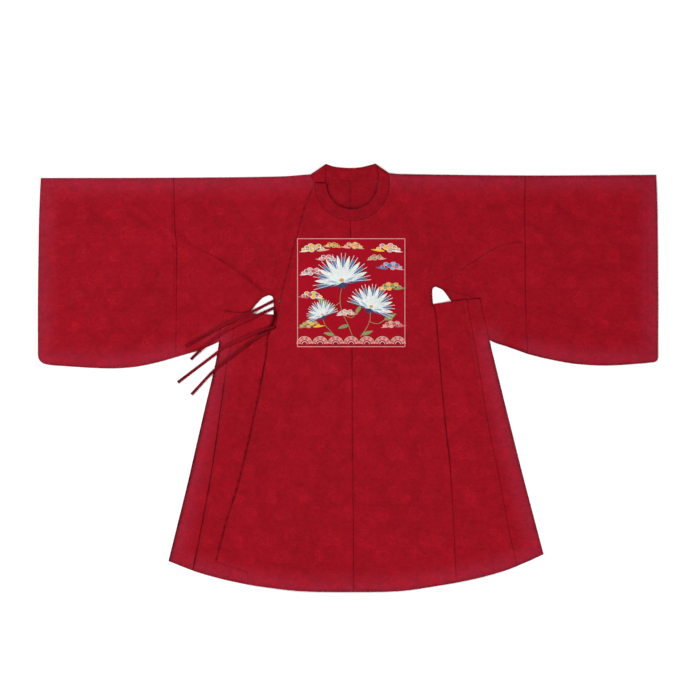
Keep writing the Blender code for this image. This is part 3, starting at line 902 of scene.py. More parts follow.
# %% The figured ground, the satin's threads and the dye
Round = namedtuple("Round", "x y radius lobes")
ROUNDS = [Round(0.10, 0.20, 26 * MM, 7.0), Round(0.48, 0.66, 21 * MM, 6.0), Round(0.79, 0.30, 15 * MM, 5.0)]
FIGURE_BEND = 26 * MM
SATIN_SLANT = 0.2
WEFT_SHARE, WEFT_STEPS = 0.35, 3
DRAG_TURN = math.radians(32)
DYE_CLOUDS = ((4.0, 0.55), (19.0, 0.42), (48.0, 0.6), (120.0, 0.8))
FIGURE_PATCHES = Patches(16.0, 3.0, 0.36, 0.62, 0.25, 1.0)


def cloud_figure():
    """A group: three sizes of cloud round in each repeat, bent and woven unevenly."""
    tree, given, out = start_group("cloud_figure", "ShaderNodeTree", [("Vector", VECTOR, None)],
                                   [("Figure", FLOAT)])
    place = given.outputs["Vector"]
    bend = node(tree, "ShaderNodeTexNoise", {"Vector": place, "Scale": 34.0, "Detail": 2.0})
    push = node(tree, "ShaderNodeVectorMath", {0: bend.outputs["Color"], 1: (0.5, 0.5, 0.5)},
                operation="SUBTRACT")
    push = node(tree, "ShaderNodeVectorMath", {0: push.outputs[0], "Scale": FIGURE_BEND}, operation="SCALE")
    bent = node(tree, "ShaderNodeVectorMath", {0: place, 1: push.outputs[0]})
    found = None
    for spot in ROUNDS:
        one = use_group(tree, CLOUD_ROUND, {"Vector": bent.outputs[0], "Shift X": spot.x, "Shift Y": spot.y,
                                            "Radius": spot.radius, "Lobes": spot.lobes})
        found = one.outputs[0] if found is None else calc(tree, "MAXIMUM", found, one.outputs[0])
    uneven = patchy(tree, place, FIGURE_PATCHES)
    tree.links.new(calc(tree, "MULTIPLY", found, uneven), out.inputs["Figure"])
    return tree


def satin_threads():
    """A group: the fine slanting floats of a satin."""
    tree, given, out = start_group("satin_threads", "ShaderNodeTree",
                                   [("Vector", VECTOR, None), ("Pitch", FLOAT, 0.0006)], [("Height", FLOAT)])
    place = node(tree, "ShaderNodeSeparateXYZ", {0: given.outputs["Vector"]})
    across = calc(tree, "DIVIDE", place.outputs["X"], given.outputs["Pitch"])
    up = calc(tree, "DIVIDE", place.outputs["Y"], given.outputs["Pitch"])
    slant = calc(tree, "MULTIPLY_ADD", up, SATIN_SLANT, across)
    warp = calc(tree, "SINE", calc(tree, "MULTIPLY", slant, 2 * math.pi))
    weft = calc(tree, "SINE", calc(tree, "MULTIPLY", up, 2 * math.pi / WEFT_STEPS))
    tree.links.new(calc(tree, "MULTIPLY_ADD", weft, WEFT_SHARE, warp), out.inputs["Height"])
    return tree


def dye():
    """A group: the slow change of tone in dyed silk, and its small crumples."""
    tree, given, out = start_group("dye", "ShaderNodeTree",
                                   [("Vector", VECTOR, None), ("Tone Range", FLOAT, 0.12)],
                                   [("Tone", FLOAT), ("Crumple", FLOAT)])
    place = given.outputs["Vector"]
    total = None
    for scale, share in DYE_CLOUDS:
        cloudy = node(tree, "ShaderNodeTexNoise", {"Vector": place, "Scale": scale, "Detail": 3.0})
        part = calc(tree, "MULTIPLY", calc(tree, "SUBTRACT", cloudy.outputs["Fac"], 0.5), share)
        total = part if total is None else calc(tree, "ADD", total, part)
    tone = calc(tree, "MULTIPLY_ADD", total, given.outputs["Tone Range"], 1.0)
    slanted = node(tree, "ShaderNodeMapping", {"Vector": place, "Rotation": (0, 0, DRAG_TURN),
                                               "Scale": (0.5, 1.5, 1.0)})
    crumple = node(tree, "ShaderNodeTexNoise", {"Vector": slanted.outputs[0], "Scale": 24.0, "Detail": 4.0,
                                                "Roughness": 0.6})
    tree.links.new(tone, out.inputs["Tone"])
    tree.links.new(crumple.outputs["Fac"], out.inputs["Crumple"])
    return tree


CLOUD_FIGURE, SATIN_THREADS, DYE = cloud_figure(), satin_threads(), dye()
print("shader groups:", CLOUD_FIGURE.name, SATIN_THREADS.name, DYE.name)

# %% Mix the silks
Silk = namedtuple("Silk", "name ground figure rim figured roughness crumple tones")
SILKS = [
    Silk("crimson_damask", (0.258, 0.0030, 0.0095, 1), (0.350, 0.0060, 0.0140, 1),
         (0.286, 0.0128, 0.0300, 1), 0.54, 0.50, 5.6, 0.56),
    Silk("collar_satin", (0.232, 0.0028, 0.0086, 1), (0.260, 0.0036, 0.0105, 1),
         (0.240, 0.0036, 0.0105, 1), 0.45, 0.48, 3.4, 0.80),
    Silk("badge_satin", (0.300, 0.0030, 0.0116, 1), (0.340, 0.0060, 0.0160, 1),
         (0.300, 0.0040, 0.0130, 1), 0.0, 0.50, 1.5, 0.40),
    Silk("tie_satin", (0.222, 0.0030, 0.0088, 1), (0.222, 0.0030, 0.0088, 1),
         (0.222, 0.0030, 0.0088, 1), 0.0, 0.50, 2.0, 0.50),
]
# The colour of the painted shade, mixed in by the seam attribute.
SEAM_SHADE = (0.046, 0.0002, 0.0012, 1)
SEAM_STRENGTH = 0.74
RIM_SHARE = 0.8
SEAM_PATCHES = Patches(17.0, 2.0, 0.34, 0.62, 0.55, 1.05)
FIGURE_SHEEN = 0.14
GLOSS_TINT = (1.0, 0.45, 0.50, 1)
GLOSS_LEVEL = 0.085
THREAD_PITCH = 0.6 * MM
THREAD_DEPTH = 0.02
FIGURE_DEPTH = 0.06


def silk_material(silk):
    """Figured silk, with painted shade along its seams and creases, and a little lighter towards the robe's
    rim.
    """
    material, tree, shader = start_material(silk.name)
    place = node(tree, "ShaderNodeTexCoord").outputs["Object"]
    figure = use_group(tree, CLOUD_FIGURE, {"Vector": place}).outputs[0]
    figure = calc(tree, "MULTIPLY", figure, silk.figured)
    threads = use_group(tree, SATIN_THREADS, {"Vector": place, "Pitch": THREAD_PITCH}).outputs[0]
    dyed = use_group(tree, DYE, {"Vector": place, "Tone Range": silk.tones})
    rim = node(tree, "ShaderNodeAttribute", attribute_name="rim").outputs["Fac"]
    # The seam attribute is painted shade, made patchy by SEAM_PATCHES.
    seam = node(tree, "ShaderNodeAttribute", attribute_name="seam").outputs["Fac"]
    shade_patches = patchy(tree, place, SEAM_PATCHES)
    seam = calc(tree, "MULTIPLY", seam, calc(tree, "MULTIPLY", shade_patches, SEAM_STRENGTH))
    colour = blend_colours(tree, calc(tree, "MULTIPLY", rim, RIM_SHARE), silk.ground, silk.rim)
    colour = blend_colours(tree, figure, colour, silk.figure)
    colour = blend_colours(tree, 1.0, colour, dyed.outputs["Tone"], "MULTIPLY")
    colour = blend_colours(tree, seam, colour, SEAM_SHADE)
    tree.links.new(colour, shader.inputs["Base Color"])
    shader.inputs["Roughness"].default_value = silk.roughness
    if silk.figured:
        rough = calc(tree, "MULTIPLY_ADD", figure, -FIGURE_SHEEN, silk.roughness)
        tree.links.new(rough, shader.inputs["Roughness"])
    height = calc(tree, "MULTIPLY", threads, THREAD_DEPTH)
    height = calc(tree, "MULTIPLY_ADD", figure, FIGURE_DEPTH, height)
    height = calc(tree, "MULTIPLY_ADD", dyed.outputs["Crumple"], silk.crumple, height)
    bump = node(tree, "ShaderNodeBump", {"Height": height, "Strength": 1.0, "Distance": MM})
    tree.links.new(bump.outputs[0], shader.inputs["Normal"])
    shader.inputs["Specular IOR Level"].default_value = GLOSS_LEVEL
    shader.inputs["Specular Tint"].default_value = GLOSS_TINT
    return material


CRIMSON, COLLAR, BADGE_RED, TIE_RED = (silk_material(silk) for silk in SILKS)
print("silks", [silk.name for silk in SILKS])

# %% [markdown]
# ## Outlines and heights of the pieces
# Each piece is a loop of the seams round it. Its height function is worked out here once, so that what lies
# on a piece, such as a tie or a row of stitches, can ask how high the cloth is at any point.

# %% Work out each piece's outline and height
BADGE_LEFT, BADGE_RIGHT, BADGE_BOTTOM, BADGE_TOP = -165.0, 186.0, 98.0, 451.0
Laid = namedtuple("Laid", "loop height")
PIECES = {}


def sleeve_outline(side):
    """The outer half of a sleeve."""
    seam = line["sleeve_seam_" + side]
    above = between(line["shoulder_" + side], seam[0, 0], line["cuff_" + side][0, 0])
    return chain(above, line["cuff_" + side], line["underarm_" + side + "_out"], seam[::-1])


def whole_sleeve(side):
    """A whole sleeve, from cuff to armpit."""
    under = np.vstack([line["underarm_" + side + "_out"], line["underarm_" + side + "_in"]])
    above = between(line["shoulder_" + side], under[-1, 0], line["cuff_" + side][0, 0])
    return chain(above, line["cuff_" + side], under)


def body_edge(side):
    """The edge of a body half from the sleeve seam's foot to the hem."""
    return np.vstack([line["underarm_" + side + "_in"], line["armpit_" + side], line["side_seam_" + side]])


def body_outline(side, middle, neck, neck_end):
    """One half of the body with its inner sleeve, from its middle line and its neck line."""
    seam, edge = line["sleeve_seam_" + side], body_edge(side)
    return chain(middle[::-1], neck, between(line["shoulder_" + side], neck_end, seam[0, 0]), seam, edge,
                 between(line["hem"], edge[-1, 0], middle[-1, 0]))


def put(name, loop, base):
    """Keep a piece's outline and height."""
    PIECES[name] = Laid(loop, laid(base, loop))


NECK_ENDS = {"left": line["neck_back"][0, 0], "right": line["neck_back"][-1, 0]}
CENTRE = line["centre_front"]
BACKS = {side: body_outline(side, line["centre_back"],
                            between(line["neck_back"], line["centre_back"][0, 0], end), end)
         for side, end in NECK_ENDS.items()}
for side in ("left", "right"):
    put("sleeve_" + side, sleeve_outline(side), level(LAYER))
    for part, lift, outer in (("back", 0.0, "panel_"), ("front", LAYER, "pleat_")):
        edge, seam = line[outer + side], line["side_seam_" + side]
        top = between(line["panel_top_" + side], edge[0, 0], seam[0, 0])
        loop = chain(top, seam, between(line["hem"], seam[-1, 0], edge[-1, 0]), edge[::-1])
        put("side_" + side + "_" + part, loop, over_sleeve(whole_sleeve(side), lift))
put("body_left", body_outline("left", CENTRE, line["hidden_neck"][::-1], NECK_ENDS["left"]), level(LAYER))
put("body_right", body_outline("right", CENTRE, np.vstack([line["band_right"], line["band_limb"]]),
                               NECK_ENDS["right"]), outer_front)
put("lap", chain(line["band_left"], CENTRE, between(line["hem"], CENTRE[-1, 0], line["lap_corner"][-1, 0]),
                 line["lap_corner"][::-1], line["lap_side"][::-1], line["lap_top"][::-1]), level(2 * LAYER))
print("pieces laid out", sorted(PIECES))

# %% [markdown]
# ## The ties
# Four narrow ties, each a folded strip of the collar's silk, are sewn on at the left side and lie loose over
# the sleeve and the skirt. A tie is a cord with a flat section: its route follows its solid, and its height
# at each step is that of the highest cloth below it, eased so that it doesn't jump.

# %% Write down the ties
TIE_WIDTH = 9.4 * MM
TIE_THICK = 1.7 * MM
TIE_CLEAR = 0.35 * MM
TIE_STEP = 5 * MM
TIE_SIDES = (-0.75, -0.4, 0, 0.4, 0.75)
TIE_TWIST = 0.22
TIE_TURNS = 2.5
TIE_PHASE = 1.3
TIE_ROUND, TIE_SOFT = 0.6, 0.8
# Painted shade on the ties: TIE_SHADES gives how much at each row of a route, deepest at a tie's edges.
TIE_MIDDLE = 0.48
TIE_EDGE = 3
TIE_SHADES = {
    "tie_gap_upper": [1.6, 0.7, 0.7, 1.3, 1.2], "tie_gap_lower": [1.6, 0.9, 0.15, 0.2, 1.0, 1.6],
    "tie_lap_upper": [1.5, 1.0, 0.4, 0.3, 0.6, 1.7], "tie_lap_lower": [1.3, 1.6, 1.6, 1.1, 1.2, 1.7],
}
TIE_ROUTES = {
    "tie_gap_upper": [(-236, 250), (-318, 209), (-406, 168), (-458, 138), (-524, 100)],
    "tie_gap_lower": [(-235, 227), (-303, 197), (-350, 176), (-404, 146), (-470, 94), (-507, 59)],
    "tie_lap_upper": [(-236, 165), (-281, 153), (-348, 123), (-403, 97), (-422, 81), (-549, -15)],
    "tie_lap_lower": [(-256, 148), (-281, 136), (-327, 105), (-373, 69), (-430, 25), (-505, -54)],
}
SECTION_TURNS = np.linspace(0, 2 * math.pi, 12, endpoint=False)
print("ties", len(TIE_ROUTES))

# %% Find the height that a tie rests at
def resting(points):
    """The top of the highest cloth under each point, or the floor."""
    best = np.zeros(len(points))
    for piece in PIECES.values():
        on = inside(points, piece.loop)
        if on.any():
            best[on] = np.maximum(best[on], piece.height(points[on]) + WALL)
    return best


def eased(values, reach=2):
    """Values raised to their neighbours' highest, then averaged, so that none comes out lower."""
    wide = np.pad(values, 2 * reach, "edge")
    window = 2 * reach + 1
    highest = np.array([wide[i:i + window].max() for i in range(len(wide) - window + 1)])
    return np.array([highest[i:i + window].mean() for i in range(len(highest) - window + 1)])


def tie_path(rows):
    """A tie's middle line: its route, at the height that the cloth gives it."""
    route = curve(rows, TIE_STEP)
    sides = [shifted(route, TIE_WIDTH * share) for share in TIE_SIDES]
    height = eased(np.max([resting(side) for side in sides], axis=0))
    return np.column_stack([route, height + TIE_THICK / 2 + TIE_CLEAR])


print("the cloth on the chest is", round(resting(chest)[0] / MM, 1), "mm high")

# %% Shape the ties and lay them
def rounded(values, power):
    """Values with their signs kept and their sizes raised to a power."""
    return np.sign(values) * np.abs(values) ** power


def tie_rings(path, phase):
    """The sections of a flat folded strip along a path, turning over a little as it goes."""
    forward = np.gradient(path, axis=0)
    forward /= np.linalg.norm(forward, axis=1)[:, None]
    across = np.column_stack([forward[:, 1], -forward[:, 0], np.zeros(len(path))])
    across /= np.linalg.norm(across, axis=1)[:, None]
    up = np.cross(across, forward)
    rings = []
    for number, point in enumerate(path):
        share = number / (len(path) - 1)
        twist = TIE_TWIST * math.sin(TIE_TURNS * math.pi * share + phase) * share
        lift = abs(math.sin(twist)) * TIE_WIDTH / 2
        wide = TIE_WIDTH / 2 * rounded(np.cos(SECTION_TURNS), TIE_ROUND)
        high = TIE_THICK / 2 * rounded(np.sin(SECTION_TURNS), TIE_SOFT)
        side_way = wide * math.cos(twist) - high * math.sin(twist)
        up_way = wide * math.sin(twist) + high * math.cos(twist) + lift
        rings.append(point + side_way[:, None] * across[number] + up_way[:, None] * up[number])
    return np.vstack(rings)


def tie_mesh(name, path, phase):
    """A tie from its sections, with painted shade that changes along its length and is deepest at its edges.
    """
    count = len(SECTION_TURNS)
    faces = [tuple(reversed(range(count)))]
    for ring in range(len(path) - 1):
        for i in range(count):
            j = (i + 1) % count
            this, after = ring * count, (ring + 1) * count
            faces.append((this + i, this + j, after + j, after + i))
    faces.append(tuple(range((len(path) - 1) * count, len(path) * count)))
    mesh = start_mesh(name, tie_rings(path, phase).tolist(), faces, TIE_RED)
    mesh.polygons.foreach_set("use_smooth", [True] * len(mesh.polygons))
    route = path[:, :2]
    knots = nearest(np.array(TIE_ROUTES[name], float) * MM, route)[1]
    shade = np.interp(nearest(route, route)[1], knots, TIE_SHADES[name])
    edge = TIE_MIDDLE + (1 - TIE_MIDDLE) * np.abs(np.cos(SECTION_TURNS)) ** TIE_EDGE
    # The tie's seam attribute is painted shade.
    note(mesh, "seam", np.outer(shade, edge).ravel())
    note(mesh, "rim", np.zeros(len(mesh.vertices)))
    return put_in_scene(name + "_silk", mesh)


for number, (name, rows) in enumerate(TIE_ROUTES.items()):
    path = tie_path(rows)
    tie = tie_mesh(name, path, TIE_PHASE * number)
    length = float(np.linalg.norm(np.diff(path, axis=0), axis=1).sum())
    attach(tie, "root")
    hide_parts(name)
    print(name, round(length, 3), "m long, up to", round(float(path[:, 2].max()) / MM, 1), "mm high")

# %% [markdown]
# ## The robe's cloth
# Now each piece is cut and laid. A sleeve end is one cloth that goes round the arm, so its front and back
# are joined along the top and below. The body's halves are joined in the same way at the shoulder.

# %% Attach a cloth, and print the size that it was cut to
def declare(piece, loops, nodes):
    """Ride and replace a cloth, and print the flat size of its cut."""
    width = max(float(np.ptp(loop[:, 0])) for loop in loops)
    length = sum(float(np.ptp(loop[:, 1])) for loop in loops)
    area = sum(abs(area_of(loop)) for loop in loops)
    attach(piece, "root")
    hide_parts(*nodes)
    print(piece.name, "cut", round(width, 3), "x", round(length, 3), "m,", round(area, 3), "m2")


def fold_round(name, back_loop, joins, nodes):
    piece = folded_cloth(name + "_silk", *PIECES[name], back_loop, joins, CRIMSON)
    declare(piece, [PIECES[name].loop, back_loop], nodes)


for side in ("left", "right"):
    fold_round("sleeve_" + side, PIECES["sleeve_" + side].loop,
               ["shoulder_" + side, "underarm_" + side + "_out"],
               ["sleeve_" + side + "_back", "sleeve_" + side + "_front"])
    fold_round("body_" + side, BACKS[side],
               ["shoulder_" + side, "underarm_" + side + "_in", "armpit_" + side],
               ["back_" + side, "front_" + side])

# %% Lay the lap and the side panels
def lay_single(name, nodes):
    piece = single_cloth(name + "_silk", *PIECES[name], CRIMSON)
    declare(piece, [PIECES[name].loop], nodes)


lay_single("lap", ["lap"])
for side in ("left", "right"):
    lay_single("side_" + side + "_back", ["side_" + side + "_back"])
    lay_single("side_" + side + "_front", ["side_" + side + "_front"])

# %% [markdown]
# ## The collar
# The band round the neck is several cloths thick, stitched through, and a little fuller in its middle than
# at its edges. A swept section could follow it, but its right end turns into a straight limb. A filled
# outline that rises away from its edge takes both shapes alike.

# %% Lay the three parts of the band
BAND_WALL = 1.2 * MM
BAND_RISE = 0.9 * MM
BAND_SOFT = 9 * MM
BAND_FINE = 5 * MM
SHOULDER_LIFT = 2.3 * MM


def lay_band(name, loop, base, folds=1.0):
    """Part of the collar's band, fuller in its middle, with a share of the robe's folds."""
    def height(points):
        full = smooth(nearest(points, closed(loop))[0] / BAND_SOFT)
        return base + folds * relief(points) + BAND_RISE * full
    PIECES[name] = Laid(loop, height)
    piece = single_cloth(name + "_silk", loop, height, COLLAR, BAND_WALL, BAND_FINE)
    declare(piece, [loop], [name])


lay_band("collar_front", chain(line["band_left"], line["band_right"], line["band_limb"],
                               line["band_limb_inner"], line["neck_inner"]), 2 * LAYER)
lay_band("collar_back", chain(line["neck_back"], curve(EDGES["neck_stand"])), 0.0, 0.0)
lay_band("collar_shoulder", chain(line["band_shoulder"]), SHOULDER_LIFT, 0.0)

# %% [markdown]
# ## The badge
# A square badge of red satin is sewn on the chest, across the centre seam, and filled with embroidery. Its
# design is a plain one of lotus blossoms, clouds and waves, which are common on such badges. Satin stitch is
# long threads side by side, so each motif is a plan of short straight lines, and a Geometry Nodes tree turns
# each line into a thread that rises in its middle.

# %% Lay the badge's ground
BADGE_MIDDLE = np.array([(BADGE_LEFT + BADGE_RIGHT) / 2, (BADGE_BOTTOM + BADGE_TOP) / 2])
BADGE_CORNERS = [(BADGE_LEFT, BADGE_BOTTOM), (BADGE_RIGHT, BADGE_BOTTOM), (BADGE_RIGHT, BADGE_TOP),
                 (BADGE_LEFT, BADGE_TOP), (BADGE_LEFT, BADGE_BOTTOM)]
BADGE_LOOP = chain(straight(BADGE_CORNERS))
put("badge", BADGE_LOOP, lambda points: outer_front(points) + LAYER)
badge = single_cloth("badge_ground", *PIECES["badge"], BADGE_RED)

# %% Plan the satin stitches of a petal, a round and a cloud
STITCH_PITCH = 1.05
STITCH_LEAN = 0.35
HALO = 1.5
LEAST_PETAL, LEAST_ROUND = 0.4, 0.02
PETAL_POWER = 0.8
CLOUD_LOBES = [(-31, -3, 5), (-20, 4, 6), (-8, 10, 6.5), (5, 4, 7.5), (17, 9, 6), (28, 0, 5), (-6, -5, 6)]
CLOUD_TAILS = [(10, -7, -84, 42, 7), (-12, -6, 98, 33, 5)]
SATIN_PLAN = {}
CORD_PLAN = {}


def turned(degrees):
    """The unit direction at an angle, anticlockwise from the right."""
    return np.array([math.cos(math.radians(degrees)), math.sin(math.radians(degrees))])


def work_across(thread, root, turn, length, half_width, lift):
    """Stitches across a shape that runs from its root along a direction, with a half width at each share."""
    axis = turned(turn)
    side = np.array([-axis[1], axis[0]])
    for share in np.arange(STITCH_PITCH / 2, length, STITCH_PITCH) / length:
        half = half_width(share)
        middle = np.array(root) + axis * length * share
        end = side * half - axis * half * STITCH_LEAN
        SATIN_PLAN.setdefault(thread, []).append((middle + end, middle - end, lift))


def work_petal(thread, root, turn, length, width, lift=0.0, blunt=0.75):
    """A petal or a leaf: pointed at its root, full past its middle."""
    work_across(thread, root, turn, length,
                lambda share: max(LEAST_PETAL, width / 2 * math.sin(math.pi * share**blunt) ** PETAL_POWER),
                lift)


def work_round(thread, middle, radius, lift=0.0, turn=35):
    """A round spot."""
    root = np.array(middle) - turned(turn) * radius
    work_across(thread, root, turn, 2 * radius,
                lambda share: radius * math.sqrt(max(LEAST_ROUND, 1 - (2 * share - 1) ** 2)), lift)


def couch(thread, points, lift=0.8):
    """A cord laid along points and held down."""
    CORD_PLAN.setdefault(thread, []).append((np.array(points, float), lift))


def work_cloud(threads, outline, place, size, flip):
    """A cloud of lobes in two colours with a pale edge, a few dark scrolls, and two tails."""
    place = np.array(place, float)
    for number, (x, y, radius) in enumerate(CLOUD_LOBES):
        middle = place + size * np.array([x * flip, y])
        work_round(outline, middle, radius * size + HALO)
        work_round(threads[number % 2], middle, radius * size - 0.4, 0.7)
        if number % 3 == 1:
            turns = np.radians(np.linspace(-30, 250, 10))
            grow = radius * size * np.linspace(0.6, 0.3, 10)
            scroll = np.column_stack([flip * np.cos(turns), np.sin(turns)])
            couch("navy", middle + grow[:, None] * scroll, 1.1)
    for thread, (x, y, turn, length, width) in zip((threads[1], outline), CLOUD_TAILS):
        root = place + size * np.array([x * flip, y])
        work_petal(thread, root, 90 + flip * turn, length * size, width * size)


print("a cloud has", len(CLOUD_LOBES), "lobes")

# %% Plan the blossoms, the stems, the waves and the frame
Blossom = namedtuple("Blossom", "place turn size")
BLOSSOMS = [Blossom((-30, 34), 100, 1.12), Blossom((62, -50), 68, 0.94), Blossom((-92, -74), 112, 0.62)]
CLOUDS = [
    (("yellow", "cream"), "white", (-122, 142), 1.00, 1),
    (("pink", "yellow"), "white", (118, 142), 1.05, -1),
    (("pink", "rose"), "white", (-126, 66), 0.90, 1),
    (("yellow", "pink"), "cream", (6, 150), 0.80, -1),
    (("sky", "blue"), "pink", (128, 84), 0.95, -1),
    (("yellow", "green"), "cream", (128, 18), 0.95, 1),
    (("green", "cream"), "yellow", (-60, 152), 0.60, -1),
    (("yellow", "rose"), "white", (-128, -10), 0.90, -1),
    (("pink", "cream"), "white", (-16, -66), 0.72, 1),
    (("cream", "yellow"), "green", (-132, -104), 0.90, 1),
    (("green", "pink"), "cream", (80, 112), 0.66, 1),
    (("rose", "pink"), "white", (-78, 110), 0.72, -1),
    (("cream", "rose"), "pink", (134, -104), 0.85, 1),
    (("pink", "white"), "rose", (104, -60), 0.55, -1),
]
STEMS = [
    [(-30, 20), (-36, -20), (-30, -60), (-10, -104), (4, -140)],
    [(62, -62), (60, -90), (48, -116), (30, -142)],
    [(-92, -82), (-84, -104), (-66, -124), (-50, -142)],
    [(-34, -30), (-58, -44), (-76, -38)], [(56, -92), (84, -100), (108, -88)],
    [(-26, -72), (2, -80), (16, -66)],
]
LEAVES = [((-76, -38), 150, 40, 15), ((108, -88), 30, 42, 16), ((16, -66), 60, 32, 12),
          ((-10, -104), 200, 34, 12), ((34, -136), 20, 38, 12), ((-56, -136), 170, 34, 11)]
WAVE_SPACING = 50.1
WAVE_BASE = -166.0
WAVE_RINGS = [("cream", 25.0), ("rose", 19.5), ("pink", 14.0), ("white", 8.5)]
FRAME_CORDS = [("rose", 1.4), ("pink", 2.8)]
PETAL_STEP, SEPAL_STEP = 26, 30
PETAL_BLUNT = 0.7
BRISTLE = (30, 52, 74, 84)
BRISTLE_LEAN = 0.6
FAN_STEP = 2.6
FAN_START, FAN_END = 14.5, 24
FRAME_POINTS = 40


def fan(count, step, middle):
    """The directions of a fan of petals, on both sides of its middle."""
    return [middle + step * (number - (count - 1) / 2) for number in range(count)]


def work_blossom(place, turn, size):
    """A lotus seen from its side: blue petals behind, white ones in two rows, and a gold heart."""
    place = np.array(place, float)

    def petal(thread, lean, length, width, lift, start=0):
        root = place + start * size * turned(lean)
        work_petal(thread, root, lean, length * size, width * size, lift, PETAL_BLUNT)

    for lean in fan(8, PETAL_STEP, turn):
        petal("blue", lean, 74, 15, 0.0)
        for side in (-7, 7):
            petal("navy", lean + side, 66, 5, 0.3)
            way = turned(lean + BRISTLE_LEAN * side)
            couch("white", [place + reach * size * way for reach in BRISTLE], 0.9)
    for lean in fan(7, PETAL_STEP, turn):
        petal("white", lean, 78, 19, 0.6)
        petal("sky", lean, 34, 6, 1.2, start=8)
    for lean in fan(5, PETAL_STEP, turn):
        petal("white", lean, 45, 16, 1.5)
    for lean in fan(4, SEPAL_STEP, turn + 180):
        petal("navy", lean, 22, 9, 0.4)
    work_round("gold", place + 6 * size * turned(turn), 6 * size, 2.1)


def work_wave(middle):
    """One wave: rings couched inside each other over a fan of stitches."""
    for turn in np.arange(8, 173, FAN_STEP):
        thread = "rose" if int(turn / (8 * FAN_STEP)) % 2 else "pink"
        start, end = middle + FAN_START * turned(turn), middle + FAN_END * turned(turn)
        SATIN_PLAN.setdefault(thread, []).append((start, end, 0.0))
    for thread, radius in WAVE_RINGS:
        couch(thread, [middle + radius * turned(turn) for turn in np.linspace(2, 178, 19)], 1.0)


def work_frame(thread, inset_by):
    """A cord couched round the badge, inside its edge."""
    half = (BADGE_RIGHT - BADGE_LEFT) / 2 - inset_by
    tall = (BADGE_TOP - BADGE_BOTTOM) / 2 - inset_by
    corners = np.array([(-half, -tall), (half, -tall), (half, tall), (-half, tall), (-half, -tall)])
    for start, end in zip(corners, corners[1:]):
        couch(thread, [start + (end - start) * share for share in np.linspace(0, 1, FRAME_POINTS)], 0.5)


for cloud in CLOUDS:
    work_cloud(*cloud)
for rows in STEMS:
    couch("green", curve(rows, 6 * MM) / MM, 0.4)
for root, turn, length, width in LEAVES:
    work_petal("green", root, turn, length, width, 0.2)
for blossom in BLOSSOMS:
    work_blossom(*blossom)
for step in range(7):
    work_wave(np.array([(step - 3) * WAVE_SPACING, WAVE_BASE]))
for thread, inset_by in FRAME_CORDS:
    work_frame(thread, inset_by)
print("stitches planned", {thread: len(rows) for thread, rows in SATIN_PLAN.items()})

# %% [markdown]
# ## Threads from plans
# The trees that follow take a plan, which is a mesh of bare edges, and give it body. Doing this in nodes
# keeps the plan small and lets one size serve every stitch of a kind. Each tree ends by making its
# instances real and setting the thread's material, and the result is kept as a plain mesh.

# %% Build the trees for satin stitch, couched cord and running stitch
MATERIAL = "NodeSocketMaterial"
GEOMETRY = "NodeSocketGeometry"
STRAND_POINTS = 5


def begin_tree(name, sizes):
    """A Geometry Nodes tree that starts from a plan's edges, as curves."""
    inputs = [("Plan", GEOMETRY, None), *((size, FLOAT, value) for size, value in sizes),
              ("Thread", MATERIAL, None)]
    tree, given, out = start_group(name, "GeometryNodeTree", inputs, [("Stitches", GEOMETRY)])
    lines = node(tree, "GeometryNodeMeshToCurve", {"Mesh": given.outputs["Plan"]})
    return tree, given, out, lines.outputs["Curve"]


def end_tree(tree, given, out, made):
    """Make the instances real, smooth them and set the thread."""
    real = node(tree, "GeometryNodeRealizeInstances", {"Geometry": made})
    smooth_faces = node(tree, "GeometryNodeSetShadeSmooth", {"Geometry": real.outputs[0]})
    dressed = node(tree, "GeometryNodeSetMaterial", {"Geometry": smooth_faces.outputs[0],
                                                     "Material": given.outputs["Thread"]})
    tree.links.new(dressed.outputs[0], out.inputs["Stitches"])
    return tree


def swept(tree, given, path, sides):
    """A closed round body along curves, with a few sides."""
    ring = node(tree, "GeometryNodeCurvePrimitiveCircle", {"Resolution": sides,
                                                           "Radius": given.outputs["Radius"]})
    body = node(tree, "GeometryNodeCurveToMesh", {"Curve": path, "Profile Curve": ring.outputs["Curve"],
                                                  "Fill Caps": True})
    return body.outputs[0]


def satin_stitch_tree():
    """Each edge becomes a thread that rises in its middle."""
    tree, given, out, lines = begin_tree("satin_stitch", [("Radius", 0.5 * MM), ("Rise", 0.5 * MM)])
    cut = node(tree, "GeometryNodeResampleCurve", {"Curve": lines, "Count": STRAND_POINTS})
    share = node(tree, "GeometryNodeSplineParameter").outputs["Factor"]
    arch = calc(tree, "SINE", calc(tree, "MULTIPLY", share, math.pi))
    arch = calc(tree, "MULTIPLY", arch, given.outputs["Rise"])
    up = node(tree, "ShaderNodeCombineXYZ", {"Z": arch})
    domed = node(tree, "GeometryNodeSetPosition", {"Geometry": cut.outputs[0], "Offset": up.outputs[0]})
    return end_tree(tree, given, out, swept(tree, given, domed.outputs[0], 4))


def couched_cord_tree():
    """Each line becomes a round cord."""
    tree, given, out, lines = begin_tree("couched_cord", [("Radius", 0.8 * MM)])
    return end_tree(tree, given, out, swept(tree, given, lines, 6))


def running_stitch_tree():
    """Short stitches stand in a row along each line."""
    tree, given, out, lines = begin_tree("running_stitch", [("Radius", 0.25 * MM), ("Pitch", 4.6 * MM),
                                                            ("Length", 3.2 * MM)])
    spots = node(tree, "GeometryNodeCurveToPoints", {"Curve": lines, "Length": given.outputs["Pitch"]},
                 mode="LENGTH")
    stitch = node(tree, "GeometryNodeMeshCylinder", {"Vertices": 6, "Radius": given.outputs["Radius"],
                                                     "Depth": given.outputs["Length"]})
    facing = node(tree, "FunctionNodeAlignRotationToVector", {"Vector": spots.outputs["Tangent"]}, axis="Z")
    row = node(tree, "GeometryNodeInstanceOnPoints", {"Points": spots.outputs["Points"],
                                                      "Instance": stitch.outputs["Mesh"],
                                                      "Rotation": facing.outputs[0]})
    return end_tree(tree, given, out, row.outputs[0])


TREES = {"satin": satin_stitch_tree(), "cord": couched_cord_tree(), "running": running_stitch_tree()}
print("trees", [tree.name for tree in TREES.values()])

